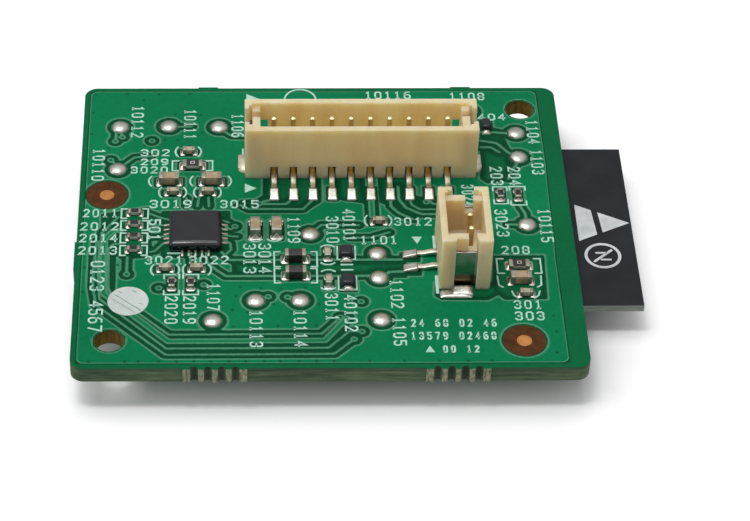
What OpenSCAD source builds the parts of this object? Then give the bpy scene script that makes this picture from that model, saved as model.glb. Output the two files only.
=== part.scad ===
// Wireless module board: a green carrier board with two top-entry wire
// sockets, a radio module soldered flat under it with its antenna end
// standing clear of the right edge, and small chip parts on top.
// X runs along the long side, Y to the rear, Z up. The origin is the
// middle of the footprint, on the surface that the board rests on.

/* [Carrier board] */
// Length of the carrier board
board_w = 37.9; // [37:0.1:40]
// Depth of the carrier board
board_d = 31.76; // [31.4:0.02:34]
// Thickness of the carrier board
board_t = 1.4; // [0.8:0.1:1.6]
// Radius of the board's corners
corner_r = 1; // [0.4:0.1:1.4]
// Diameter of the two mounting holes
hole_dia = 2.2; // [2:0.1:2.4]
// Rear right hole, from the right edge
rear_hole_x = 2.93; // [2.6:0.01:3.4]
// Rear right hole, from the rear edge
rear_hole_y = 2.76; // [2.4:0.01:3.2]
// Front left hole, from the left edge
front_hole_x = 2.8; // [2.4:0.01:3]
// Front left hole, from the front edge
front_hole_y = 2.83; // [2.4:0.01:3.2]
// How far the snapped panel tabs stand out of the edges
tab_out = 0.13; // [0.05:0.01:0.3]
// Spacing of the break-off holes along a front tab
bite_pitch = 1; // [0.9:0.05:1.2]
// Diameter of the break-off holes
bite_dia = 0.6; // [0.4:0.05:0.7]

/* [Wire sockets] */
// Spacing of the contacts
pitch = 1.5; // [1.4:0.05:1.6]
// Contacts in the long socket
long_ways = 10; // [8:1:10]
// Contacts in the short socket
short_ways = 2; // [2:1:3]
// From the last contact to the end of a housing
end_margin = 2.275; // [2.2:0.025:2.5]
// Depth of a housing across its contact row
shell_d = 3.8; // [3.7:0.05:4.2]
// Height of a housing
shell_h = 4.9; // [4.6:0.1:5.6]
// Thickness of the long walls of a housing
shell_wall = 0.5; // [0.4:0.05:0.6]
// Thickness of the cross walls that close the cavity
cross_wall = 0.6; // [0.5:0.05:0.65]
// How far the cross walls stop below the rim
cross_drop = 0.3; // [0.1:0.05:0.6]
// Depth of the pockets in the ends of a housing
pocket_d = 0.6; // [0.5:0.05:0.65]
// Width of the pockets in the ends of a housing
pocket_w = 1.66; // [1.4:0.02:1.8]
// Width of the slot in each cross wall
key_w = 0.65; // [0.5:0.05:0.8]
// Height of the cavity floor
floor_z = 1.6; // [1.4:0.1:2]
// Distance from the middle of a housing back to its contact row
row_offset = 0.45; // [0.3:0.05:0.5]
// Width of a contact, which is square
contact_w = 0.45; // [0.4:0.01:0.5]
// Height of the contact tips
contact_h = 4.3; // [3.8:0.1:4.4]
// Thickness of the contact tails
tail_t = 0.3; // [0.2:0.02:0.34]
// Reach of the contact tails in front of a housing
tail_reach = 2.3; // [2:0.1:2.6]
// Thickness of the solder tabs
nail_t = 0.2; // [0.15:0.01:0.25]
// Width of the solder tabs
nail_w = 2.3; // [2:0.05:2.5]
// Height of the solder tabs
nail_h = 3.4; // [2.6:0.1:3.8]
// Reach of the solder tabs beyond the housing
nail_reach = 0.7; // [0.5:0.05:0.9]

/* [Chip parts] */
// Length of the small chip parts
small_l = 1; // [0.9:0.02:1.1]
// Width of the small chip parts
small_w = 0.5; // [0.45:0.01:0.55]
// Length of the large chip parts
large_l = 1.6; // [1.5:0.02:1.7]
// Width of the large chip parts
large_w = 0.8; // [0.75:0.01:0.85]
// Height of the resistors
res_h = 0.38; // [0.3:0.01:0.5]
// Height of the small capacitors
small_cap_h = 0.5; // [0.4:0.01:0.6]
// Height of the large capacitors and beads
large_cap_h = 0.8; // [0.6:0.01:0.95]
// Side of the square controller chip
chip_side = 4; // [3.8:0.1:4.4]
// Height of the controller chip
chip_h = 0.9; // [0.75:0.05:1]
// Spacing of the controller chip's leads
lead_pitch = 0.5; // [0.4:0.05:0.55]
// Radius of the solder domes on the test points
dome_r = 0.7; // [0.5:0.05:0.8]
// Height of the solder domes
dome_h = 0.3; // [0.15:0.05:0.4]

/* [Radio module] */
// Length of the module board
module_l = 25.5; // [25:0.1:27]
// Width of the module board
module_w = 17.9; // [17.5:0.1:18.5]
// Thickness of the module board
module_t = 0.6; // [0.6:0.1:1]
// How far the antenna end stands clear of the carrier board
overhang = 4.85; // [4:0.05:5.5]
// Middle of the module, behind the middle of the carrier
module_y = 0.87; // [0:0.01:1.5]
// Length of the antenna end, which has no shield
antenna_l = 6.2; // [6:0.1:6.8]
// Spacing of the plated edge notches
notch_pitch = 1.27; // [1.1:0.01:1.3]
// Radius of the plated edge notches
notch_r = 0.32; // [0.25:0.01:0.4]
// Width of the shield can
shield_w = 15.9; // [15.4:0.1:16.2]
// Height of the shield can
shield_h = 2.3; // [2:0.1:2.8]
// Sheet thickness of the shield can
shield_t = 0.2; // [0.15:0.01:0.25]
// Gap from the shield can to the ends of its area
shield_gap = 0.9; // [0.7:0.05:1]
// Line width of the printed antenna
antenna_line = 0.5; // [0.4:0.05:0.6]
// Thickness of the printed antenna
antenna_t = 0.04; // [0.03:0.01:0.06]

/* [Hidden] */
$fn = 32;

// Overcut that lets a cut pass clear through a face
cut = 0.1;

// Heights, with the top face of the carrier at zero before lift_z
module_top = -board_t;
module_bottom = module_top - module_t;
lift_z = shield_h - module_bottom;
module_right = board_w / 2 + overhang;
module_left = module_right - module_l;
shift_x = -(module_right - board_w / 2 - tab_out) / 2;

// Snapped tabs: centre of each group along its edge
front_groups = [-8.4, 9.3];
rear_tabs = [-9, 11.4];
rear_tab_w = 1.6;
left_tab_y = -3.9;
left_tab_w = 3;
bites = 4;
bite_flank = 0.85;

// Housings: small features
channel_w = 0.6;
channel_h = 1.2;
column_r = 0.12;
window_w = 0.62;
window_top = 3.2;
slot_z = 3.3;
groove_play = 0.05;
tip_bevel = 0.12;
run_z = 0.18;
knee = 0.15;
drop = 1.05;

// Places of the sockets: middle of the contact row, and its turn
long_at = [2.91, 7.15];
short_at = [10.67, -4.72];

// Chip parts: place, and turn about Z
resistor_at = [
    [-14.6, 0.75, 0], [-14.6, -0.6, 0], [-14.6, -2, 0], [-14.6, -3.4, 0],
    [-11.66, -7.15, 90], [-10.23, -7.15, 90], [13.7, 2.75, 90], [15.05, 2.75, 90],
];
large_resistor_at = [[-10.2, 6.3, 0], [14.5, -5.2, 0]];
bead_at = [[-2.35, -4.4, 0], [-2.35, -6.22, 0]];
small_cap_at = [
    [-10.5, 7.9, 0], [-11.7, 3.1, 0], [-9, 3.1, 0], [-12.15, -5.5, 0], [-9.8, -5.5, 0],
    [0.1, -3.95, 90], [0.1, -6.95, 90], [4.13, -0.3, 0], [14.8, -8.3, 0],
    [11.15, 0.45, 0], [9.5, 0.45, 0],
];
large_cap_at = [[-12, 4.4, 0], [-8.7, 4.4, 0], [-5.35, -1.2, 90], [-3.72, -1.15, 90], [14.5, -6.85, 0]];
diode_at = [[1.5, -3.85, 90], [1.55, -7, 90]];
small_diode_x = 13.15;
small_diode_back = 4.98;
small_diode_at = [small_diode_x, board_d / 2 - small_diode_back, 90];
controller_at = [-9.9, -1.57];
leads = 5;
lead_w = 0.24;
lead_h = 0.2;
lead_out = 0.02;
dimple_r = 0.25;
dimple_in = 0.7;
dimple_depth = 0.04;
cap_end = 0.28;
skin = 0.03;
large_end = 0.4;
diode_l = 1.2;
diode_w = 1.08;
small_diode_w = 0.8;
diode_r = 0.18;
diode_h = 0.6;
diode_lead = 0.2;
diode_lead_w = 0.3;
diode_lead_t = 0.14;
diode_taper = 0.06;

// Test points with a dome of solder
dome_at = [
    [-16, 11], [-12.13, 11.1], [-16.05, 5.94], [-8.13, 11], [-1.16, -1.6], [3.88, -3.8],
    [3.9, -6.43], [3.88, -10.93], [-8.57, -11], [-5.37, -8.87], [-2.06, -8.85],
    [15.49, 10.2], [15.46, 7.26], [15.5, -0.61], [5.5, 12.9], [11.9, 12.9],
];

// Module details
side_notches = 14;
end_notches = 8;
first_notch = 1.6;
shield_l = module_l - antenna_l - 2 * shield_gap;
shield_r = 0.5;
shield_slots = 4;
slot_w = 1.4;
slot_h = 0.35;
meander_legs = 6;
meander_step = 1.7;
meander_in = 0.7;
radio_side = 5;
radio_h = 0.85;
memory_size = [4, 3, 0.6];
crystal_size = [2.5, 2, 0.5];
passive_size = [1, 0.5, 0.4];
passives = 6;
passive_step = 1.3;

// Moves a part from the carrier's top face to the common frame
module on_board() {
    translate([shift_x, 0, lift_z])
        children();
}

// Moves and turns a part that lies at [x, y, turn] on the carrier
module put(at) {
    on_board()
        translate([at[0], at[1], 0])
            rotate([0, 0, at[2]])
                children();
}

// Block centred on X and Y with round vertical edges
module round_block(l, w, h, r) {
    translate([-l / 2 + r, -w / 2, 0])
        cube([l - 2 * r, w, h]);
    translate([-l / 2, -w / 2 + r, 0])
        cube([l, w - 2 * r, h]);
    for (x = [-1, 1], y = [-1, 1])
        translate([x * (l / 2 - r), y * (w / 2 - r), 0])
            cylinder(h = h, r = r);
}

// Block centred on X and Y
module block(l, w, h) {
    translate([-l / 2, -w / 2, 0])
        cube([l, w, h]);
}

// ---- Carrier board ----

// Stub left by a front tab: a low web with a row of half holes
module bite_web(x) {
    width = (bites - 1) * bite_pitch + 2 * bite_flank;
    translate([x - width / 2, -board_d / 2 - tab_out, -board_t])
        cube([width, tab_out + cut, board_t]);
}

module bite_holes(x) {
    for (i = [0 : bites - 1])
        translate([x + (i - (bites - 1) / 2) * bite_pitch, -board_d / 2 - tab_out, -board_t - cut])
            cylinder(h = board_t + 2 * cut, d = bite_dia);
}

module hole_at(x, y) {
    translate([x, y, -board_t - cut])
        cylinder(h = board_t + 2 * cut, d = hole_dia);
}

module carrier_board() {
    color("#1b7a50")
        on_board()
            difference() {
                union() {
                    translate([0, 0, -board_t])
                        round_block(board_w, board_d, board_t, corner_r);
                    for (x = front_groups)
                        bite_web(x);
                    for (x = rear_tabs)
                        translate([x - rear_tab_w / 2, board_d / 2 - cut, -board_t])
                            cube([rear_tab_w, tab_out + cut, board_t]);
                    translate([-board_w / 2 - tab_out, left_tab_y - left_tab_w / 2, -board_t])
                        cube([tab_out + cut, left_tab_w, board_t]);
                }
                for (x = front_groups)
                    bite_holes(x);
                hole_at(board_w / 2 - rear_hole_x, board_d / 2 - rear_hole_y);
                hole_at(-board_w / 2 + front_hole_x, -board_d / 2 + front_hole_y);
            }
}

// ---- Wire sockets ----
// Drawn with the contact row on X and the tails towards -Y

function shell_l(ways) = pitch * (ways - 1) + 2 * end_margin;
function cavity_l(ways) = shell_l(ways) - 2 * (pocket_d + cross_wall);
function contact_x(ways, i) = (i - (ways - 1) / 2) * pitch;

// Everything that is cut from one end of a housing, at +X
module end_cuts(ways) {
    half = shell_l(ways) / 2;
    // Pocket between the two corner columns
    translate([half - pocket_d, -row_offset - pocket_w / 2, -cut])
        cube([pocket_d + cut, pocket_w, shell_h + 2 * cut]);
    // Grooves that hold the edges of the solder tab
    translate([half - pocket_d, -row_offset - nail_w / 2, -cut])
        cube([nail_t + groove_play, nail_w, shell_h + 2 * cut]);
    // Cross wall stops below the rim
    translate([half - pocket_d - cross_wall - cut, -row_offset - shell_d / 2 + shell_wall, shell_h - cross_drop])
        cube([cross_wall + cut, shell_d - 2 * shell_wall, cross_drop + cut]);
    // Slot in the cross wall
    translate([half - pocket_d - cross_wall - cut, -key_w / 2, slot_z])
        cube([cross_wall + 2 * cut, key_w, shell_h]);
    // Window in the rear wall, at the end of the cavity
    translate([half - pocket_d - cross_wall - window_w, -row_offset + shell_d / 2 - shell_wall - cut, floor_z])
        cube([window_w, shell_wall + 2 * cut, window_top - floor_z]);
}

module housing(ways) {
    color("#e6dcc0")
        difference() {
            translate([0, -row_offset, 0])
                round_block(shell_l(ways), shell_d, shell_h, column_r);
            translate([0, -row_offset, floor_z])
                block(cavity_l(ways), shell_d - 2 * shell_wall, shell_h);
            for (side = [0, 1])
                mirror([side, 0, 0])
                    end_cuts(ways);
            for (i = [0 : ways - 1])
                translate([contact_x(ways, i), 0, 0]) {
                    // Channel under the floor for the tail
                    translate([-channel_w / 2, -row_offset - shell_d / 2 - cut, -cut])
                        cube([channel_w, row_offset + shell_d / 2 + cut + channel_w / 2, channel_h + cut]);
                    // Square hole in the floor for the post
                    block(contact_w, contact_w, floor_z + cut);
                }
        }
}

// Bent square contact: post, run under the floor, and soldered tail
module contact() {
    half = contact_w / 2;
    front = -row_offset - shell_d / 2;
    color("#c8c8cc")
        translate([half, 0, 0])
            rotate([90, 0, -90])
                linear_extrude(contact_w)
                    polygon([
                        [-half, run_z], [-half, contact_h - tip_bevel], [-half + tip_bevel, contact_h],
                        [half - tip_bevel, contact_h], [half, contact_h - tip_bevel],
                        [half, run_z + tail_t], [-front + knee, run_z + tail_t],
                        [-front + drop, tail_t], [-front + tail_reach, tail_t],
                        [-front + tail_reach, 0], [-front + drop - knee, 0], [-front, run_z],
                    ]);
}

// Bent solder tab at the +X end of a housing
module solder_tab(ways) {
    inner = shell_l(ways) / 2 - pocket_d;
    color("#d4d6d6")
        translate([inner, -row_offset, 0]) {
            translate([0, -nail_w / 2, 0])
                cube([nail_t, nail_w, nail_h]);
            translate([0, -pocket_w / 2, 0])
                cube([pocket_d + nail_reach, pocket_w, nail_t]);
        }
}

module long_place() {
    put([long_at[0], long_at[1], 0])
        children();
}

module short_place() {
    put([short_at[0], short_at[1], -90])
        children();
}

module long_housing() {
    long_place()
        housing(long_ways);
}

module short_housing() {
    short_place()
        housing(short_ways);
}

module long_contact(i) {
    if (i < long_ways)
        long_place()
            translate([contact_x(long_ways, i), 0, 0])
                contact();
}

module short_contact(i) {
    if (i < short_ways)
        short_place()
            translate([contact_x(short_ways, i), 0, 0])
                contact();
}

// ---- Chip parts ----

// Two-ended chip part: metal ends round a slightly thinner body
module chip(l, w, h, end, shade) {
    color("#c4c8c6")
        for (side = [-1, 1])
            translate([side * (l - end) / 2, 0, 0])
                block(end, w, h);
    color(shade)
        translate([0, 0, skin])
            block(l - 2 * skin, w - 2 * skin, h - 2 * skin);
}

module resistor(i) {
    put(resistor_at[i])
        chip(small_l, small_w, res_h, cap_end, "#26282a");
}

module large_resistor(i) {
    put(large_resistor_at[i])
        chip(large_l, large_w, res_h, large_end, "#26282a");
}

module bead(i) {
    put(bead_at[i])
        chip(large_l, large_w, large_cap_h, large_end, "#3a3734");
}

module small_capacitor(i) {
    put(small_cap_at[i])
        chip(small_l, small_w, small_cap_h, cap_end, "#b0946e");
}

module large_capacitor(i) {
    put(large_cap_at[i])
        chip(large_l, large_w, large_cap_h, large_end, "#b0946e");
}

// Two-lead moulded diode: sides drafted from its mould line, round corners
module diode(at, w) {
    put(at) {
        color("#232426")
            intersection() {
                round_block(diode_l, w, diode_h, diode_r);
                for (lift = [0, 1])
                    translate([0, 0, lift * diode_h / 2])
                        rotate([90, 0, 90])
                            translate([0, 0, -diode_l / 2])
                                linear_extrude(diode_l)
                                    mirror([0, 1 - lift])
                                        translate([0, -(1 - lift) * diode_h / 2])
                                            polygon([
                                                [-w / 2, 0], [w / 2, 0],
                                                [w / 2 - diode_taper, diode_h / 2],
                                                [-w / 2 + diode_taper, diode_h / 2],
                                            ]);
            }
        color("#c4c8c6")
            block(diode_l + 2 * diode_lead, diode_lead_w, diode_lead_t);
    }
}

// Square leadless chip with leads showing round its foot
module controller_chip() {
    put([controller_at[0], controller_at[1], 0]) {
        color("#2e2f33")
            difference() {
                block(chip_side, chip_side, chip_h);
                translate([-chip_side / 2 + dimple_in, chip_side / 2 - dimple_in, chip_h - dimple_depth])
                    cylinder(h = dimple_depth + cut, r = dimple_r);
            }
        color("#c4c8c6")
            for (turn = [0 : 90 : 270], i = [0 : leads - 1])
                rotate([0, 0, turn])
                    translate([(i - (leads - 1) / 2) * lead_pitch, 0, 0])
                        translate([-lead_w / 2, chip_side / 2 - cut, 0])
                            cube([lead_w, cut + lead_out, lead_h]);
    }
}

// Solder domes: caps of a sphere that meet the board in a circle
module test_domes() {
    ball_r = (dome_r * dome_r + dome_h * dome_h) / (2 * dome_h);
    color("#dfe3e1")
        for (at = dome_at)
            put([at[0], at[1], 0])
                rotate_extrude()
                    intersection() {
                        translate([0, dome_h - ball_r])
                            circle(r = ball_r, $fn = 96);
                        square([dome_r, dome_h]);
                    }
}

// ---- Radio module ----

// Every notch of the module: place from the module's left end and middle
function side_notch(i, side) = [first_notch + i * notch_pitch, side * module_w / 2];
function end_notch(i) = [0, (i - (end_notches - 1) / 2) * notch_pitch];
notches = concat(
    [for (i = [0 : side_notches - 1], side = [-1, 1]) side_notch(i, side)],
    [for (i = [0 : end_notches - 1]) end_notch(i)]
);

// Puts a part on the module's underside, drawn upside down from its left end
module under_module() {
    on_board()
        translate([module_left, module_y, module_bottom])
            rotate([180, 0, 0])
                children();
}

module module_board() {
    color("#2d2e32")
        on_board()
            translate([module_left, module_y, module_bottom])
                difference() {
                    translate([0, -module_w / 2, 0])
                        cube([module_l, module_w, module_t]);
                    for (at = notches)
                        translate([at[0], at[1], -cut])
                            cylinder(h = module_t + 2 * cut, r = notch_r);
                }
}

// Solder that fills each notch and stands as a fillet below the carrier
module module_joints() {
    color("#cfd3d2")
        on_board()
            translate([module_left, module_y, module_bottom])
                for (at = notches)
                    translate([at[0], at[1], 0])
                        cylinder(h = module_t, r = notch_r);
}

// Drawn sheet can, open towards the module
module shield_can() {
    color("#c9cccf")
        under_module()
            translate([shield_gap + shield_l / 2, 0, 0])
                difference() {
                    round_block(shield_l, shield_w, shield_h, shield_r);
                    translate([0, 0, -cut])
                        round_block(
                            shield_l - 2 * shield_t, shield_w - 2 * shield_t,
                            shield_h - shield_t + cut, shield_r - shield_t
                        );
                    // Slots along the foot of the walls, over the traces
                    for (i = [0 : shield_slots - 1])
                        translate([(i - (shield_slots - 1) / 2) * shield_l / shield_slots, 0, -cut]) {
                            block(slot_w, shield_w + 2 * cut, slot_h + cut);
                        }
                }
}

// Printed antenna: a meander with its feed at the shield end
module antenna_trace() {
    start = module_l - antenna_l + meander_in;
    reach = antenna_l - 2 * meander_in;
    under = meander_legs * meander_step;
    color("#b87b3a")
        under_module()
            translate([start, -under / 2, 0]) {
                for (i = [0 : meander_legs])
                    translate([0, i * meander_step, 0])
                        cube([reach, antenna_line, antenna_t]);
                for (i = [0 : meander_legs - 1])
                    translate([(i % 2 == 0) ? reach - antenna_line : 0, i * meander_step, 0])
                        cube([antenna_line, meander_step + antenna_line, antenna_t]);
            }
}

// Drawn from the left end of the module, inside the can
module inside(x, y) {
    under_module()
        translate([shield_gap + x * shield_l, y * shield_w, 0])
            children();
}

module radio_chip() {
    color("#2e2f33")
        inside(0.42, 0)
            block(radio_side, radio_side, radio_h);
}

module memory_chip() {
    color("#2e2f33")
        inside(0.8, 0.22)
            block(memory_size[0], memory_size[1], memory_size[2]);
}

module crystal() {
    color("#c9cccf")
        inside(0.78, -0.22)
            round_block(crystal_size[0], crystal_size[1], crystal_size[2], column_r);
}

module radio_passives() {
    color("#b0946e")
        inside(0.12, 0)
            for (i = [0 : passives - 1])
                translate([0, (i - (passives - 1) / 2) * passive_step, 0])
                    block(passive_size[0], passive_size[1], passive_size[2]);
}

carrier_board();
long_housing();
short_housing();
long_contact(0);  // long_contact_01
long_contact(1);  // long_contact_02
long_contact(2);  // long_contact_03
long_contact(3);  // long_contact_04
long_contact(4);  // long_contact_05
long_contact(5);  // long_contact_06
long_contact(6);  // long_contact_07
long_contact(7);  // long_contact_08
long_contact(8);  // long_contact_09
long_contact(9);  // long_contact_10
short_contact(0);  // short_contact_01
short_contact(1);  // short_contact_02
long_place() mirror([1, 0, 0]) solder_tab(long_ways);  // long_tab_left
long_place() solder_tab(long_ways);  // long_tab_right
short_place() mirror([1, 0, 0]) solder_tab(short_ways);  // short_tab_rear
short_place() solder_tab(short_ways);  // short_tab_front
controller_chip();
resistor(0);  // resistor_01
resistor(1);  // resistor_02
resistor(2);  // resistor_03
resistor(3);  // resistor_04
resistor(4);  // resistor_05
resistor(5);  // resistor_06
resistor(6);  // resistor_07
resistor(7);  // resistor_08
large_resistor(0);  // resistor_09
large_resistor(1);  // resistor_10
bead(0);  // bead_01
bead(1);  // bead_02
small_capacitor(0);  // capacitor_01
small_capacitor(1);  // capacitor_02
small_capacitor(2);  // capacitor_03
small_capacitor(3);  // capacitor_04
small_capacitor(4);  // capacitor_05
small_capacitor(5);  // capacitor_06
small_capacitor(6);  // capacitor_07
small_capacitor(7);  // capacitor_08
small_capacitor(8);  // capacitor_09
small_capacitor(9);  // capacitor_10
small_capacitor(10);  // capacitor_11
large_capacitor(0);  // capacitor_12
large_capacitor(1);  // capacitor_13
large_capacitor(2);  // capacitor_14
large_capacitor(3);  // capacitor_15
large_capacitor(4);  // capacitor_16
diode(diode_at[0], diode_w);  // diode_01
diode(diode_at[1], diode_w);  // diode_02
diode(small_diode_at, small_diode_w);  // diode_03
test_domes();
module_board();
module_joints();
shield_can();
antenna_trace();
radio_chip();
memory_chip();
crystal();
radio_passives();
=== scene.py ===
# Carrier board with two wire sockets and a radio module under it.
import math
import bmesh
import bpy
import numpy as np
from mathutils import Matrix
from mathutils.geometry import delaunay_2d_cdt


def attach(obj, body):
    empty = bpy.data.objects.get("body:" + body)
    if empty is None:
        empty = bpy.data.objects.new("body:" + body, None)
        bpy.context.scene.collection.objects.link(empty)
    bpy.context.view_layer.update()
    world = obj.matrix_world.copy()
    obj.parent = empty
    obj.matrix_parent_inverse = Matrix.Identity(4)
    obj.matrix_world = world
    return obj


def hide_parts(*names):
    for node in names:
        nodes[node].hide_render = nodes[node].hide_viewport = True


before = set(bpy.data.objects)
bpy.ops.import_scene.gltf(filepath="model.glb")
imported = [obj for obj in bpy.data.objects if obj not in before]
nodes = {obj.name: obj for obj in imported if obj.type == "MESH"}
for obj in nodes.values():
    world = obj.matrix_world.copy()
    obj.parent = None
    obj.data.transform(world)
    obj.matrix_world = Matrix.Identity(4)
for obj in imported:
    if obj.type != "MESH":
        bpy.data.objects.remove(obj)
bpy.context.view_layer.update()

home = np.array([-2.36, 0.0, 4.3])  # carrier board's centre, on its top face, in mm
print("frame loaded,", len(nodes), "nodes")


# Shapes: every length is in mm, from the carrier board's centre.

def spin(points, degrees):
    # x and y turned about the z axis
    a = math.radians(degrees)
    turned = np.array(points, float)
    turned[:, 0] = points[:, 0] * math.cos(a) - points[:, 1] * math.sin(a)
    turned[:, 1] = points[:, 0] * math.sin(a) + points[:, 1] * math.cos(a)
    return turned


def place(parts, x, y, degrees=0.0, z=0.0):
    return [(spin(v, degrees) + [x, y, z], f, m) for v, f, m in parts]


def atHeight(points, z):
    return np.column_stack([points, np.full(len(points), z)])


def gridFaces(rows, cols, loop):
    # quads of a rows by cols grid of points; loop joins the last column to the first
    span = np.arange(cols if loop else cols - 1)
    i, j = np.meshgrid(np.arange(rows - 1), span, indexing="ij")
    k = (j + 1) % cols
    quads = [i * cols + j, i * cols + k, (i + 1) * cols + k, (i + 1) * cols + j]
    return np.stack(quads, -1).reshape(-1, 4)


def loft(rings, material=0, ends=True):
    # rings of equal point count, skinned with quads; the two ends are closed flat
    rings = np.asarray(rings, float)
    n, m = rings.shape[:2]
    faces = [gridFaces(n, m, True)]
    if ends:
        faces += [np.arange(m)[None, ::-1], (np.arange(m) + (n - 1) * m)[None, :]]
    return (rings.reshape(-1, 3), faces, material)


def roundedRing(w, h, r, steps=3):
    # a w by h rectangle about the origin whose corners are quarter circles of radius r
    t = np.linspace(0, math.pi / 2, steps + 1)
    r = min(r, w / 2 - 1e-4, h / 2 - 1e-4)
    out = []
    for q, (sx, sy) in enumerate([(1, 1), (-1, 1), (-1, -1), (1, -1)]):
        x = sx * (w / 2 - r) + r * np.cos(t + q * math.pi / 2)
        y = sy * (h / 2 - r) + r * np.sin(t + q * math.pi / 2)
        out.append(np.stack([x, y], -1))
    return np.concatenate(out)


def block(w, d, h, r, edge, material=0, foot=0.0):
    # a rounded rectangle carried up z, drawn in over the last edge mm as a quarter round
    a = np.linspace(0, math.pi / 2, 4)
    levels = [(foot, 0.0)]
    levels += [(h - edge + edge * math.sin(t), edge * (1 - math.cos(t))) for t in a]
    rings = [atHeight(roundedRing(w - 2 * s, d - 2 * s, max(r - s, 0.01)), z) for z, s in levels]
    return loft(rings, material)


def pillow(w, l, h, curve, power=4.0, material=0, rings=6, around=24, lean=(0.0, 0.0)):
    # footprint: superellipse |2x/w|^p + |2y/l|^p = rho^p; height h (1 - rho^a)^b
    skirt = 0.03
    rho = np.linspace(0, 1, rings + 1)[:, None]
    t = np.linspace(0, 2 * math.pi, around, endpoint=False)[None, :]
    c, s = np.cos(t), np.sin(t)
    x = np.sign(c) * np.abs(c) ** (2 / power) * w / 2 * rho + lean[0] * (1 - rho)
    y = np.sign(s) * np.abs(s) ** (2 / power) * l / 2 * rho + lean[1] * (1 - rho)
    z = h * (1 - rho ** curve[0]) ** curve[1] + 0 * t
    v = np.stack([x, y, z], -1)
    return loft(np.concatenate([v, v[-1:] - [0, 0, skirt]]), material)


def leaned(part, alongX, alongY, level=1.0):
    # heights times level + alongX x + alongY y, kept between 0.2 and 1
    v, f, m = part
    share = np.clip(level + alongX * v[:, 0] + alongY * v[:, 1], 0.2, 1.0)
    return (np.column_stack([v[:, :2], v[:, 2] * share]), f, m)


def sweep(path, widths, depths, r, material=0):
    # a rounded rectangle carried along a path in the y-z plane, square to it at each point
    path = np.asarray(path, float)
    step = np.gradient(path, axis=0)
    step /= np.linalg.norm(step, axis=1)[:, None]
    rings = []
    for p, d, w, t in zip(path, step, widths, depths):
        x, side = roundedRing(w, t, r).T
        rings.append(np.column_stack([x, p[0] - side * d[1], p[1] + side * d[0]]))
    return loft(rings, material)


def bent(corners, r, steps=5):
    # straight runs whose corner b, between p and q, becomes (1-t)^2 p + 2t(1-t) b + t^2 q
    corners = np.asarray(corners, float)
    out = [corners[0]]
    t = np.linspace(0, 1, steps + 1)[:, None]
    for a, b, c in zip(corners[:-2], corners[1:-1], corners[2:]):
        u, v = a - b, c - b
        k = min(r, np.linalg.norm(u) * 0.48, np.linalg.norm(v) * 0.48)
        p, q = b + u / np.linalg.norm(u) * k, b + v / np.linalg.norm(v) * k
        out += list((1 - t) ** 2 * p + 2 * t * (1 - t) * b + t ** 2 * q)
    out.append(corners[-1])
    return np.array(out)


def ahead(p, q):
    # unit vectors from the points p to the points q
    return (q - p) / np.linalg.norm(q - p, axis=-1, keepdims=True)


def ribbon(points, width, top, closed=False):
    # ink: a line offset to both sides by half its width, mitred at its corners
    p = np.asarray(points, float)
    half = width / 2
    if closed:
        a, b = np.roll(p, 1, 0), np.roll(p, -1, 0)
    else:
        cap = width * 0.35
        p = np.vstack([p[0] - ahead(p[0], p[1]) * cap, p, p[-1] + ahead(p[-2], p[-1]) * cap])
        a = np.vstack([p[:1] * 2 - p[1:2], p[:-1]])
        b = np.vstack([p[1:], p[-1:] * 2 - p[-2:-1]])
        half = np.full(len(p), half)
        half[[0, -1]] *= 0.5
    u, v = ahead(a, p), ahead(p, b)
    n = np.stack([-(u + v)[:, 1], (u + v)[:, 0]], -1)
    n /= np.linalg.norm(n, axis=1)[:, None]
    n /= np.maximum(np.abs(n[:, 0] * -u[:, 1] + n[:, 1] * u[:, 0]), 0.5)[:, None]
    offset = n * np.reshape(half, (-1, 1))
    across = [(-1, -0.05), (-0.85, 0.0), (0.85, 0.0), (1, -0.05)]
    rings = np.stack([atHeight(p + offset * s, top + z) for s, z in across], 1)
    return loft(np.concatenate([rings, rings[:1]]), 0, False) if closed else loft(rings)


def patch(outline, top, deep=0.05):
    # a flat closed outline with a skirt below it
    return loft([atHeight(outline, z) for z in (top - deep, top)])


def circle(x, y, r, n=48):
    t = np.radians(np.linspace(0, 360, n, endpoint=False))
    return np.stack([x + r * np.cos(t), y + r * np.sin(t)], -1)


def tidyQuads(q):
    # a quad with two equal neighbouring corners becomes a triangle
    kept, tris = q, []
    for k in range(4):
        same = kept[:, k] == kept[:, (k + 1) % 4]
        tris.append(np.delete(kept[same], k, axis=1))
        kept = kept[~same]
    t = np.concatenate(tris)
    t = t[(t[:, 0] != t[:, 1]) & (t[:, 1] != t[:, 2]) & (t[:, 2] != t[:, 0])]
    return kept, t


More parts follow.
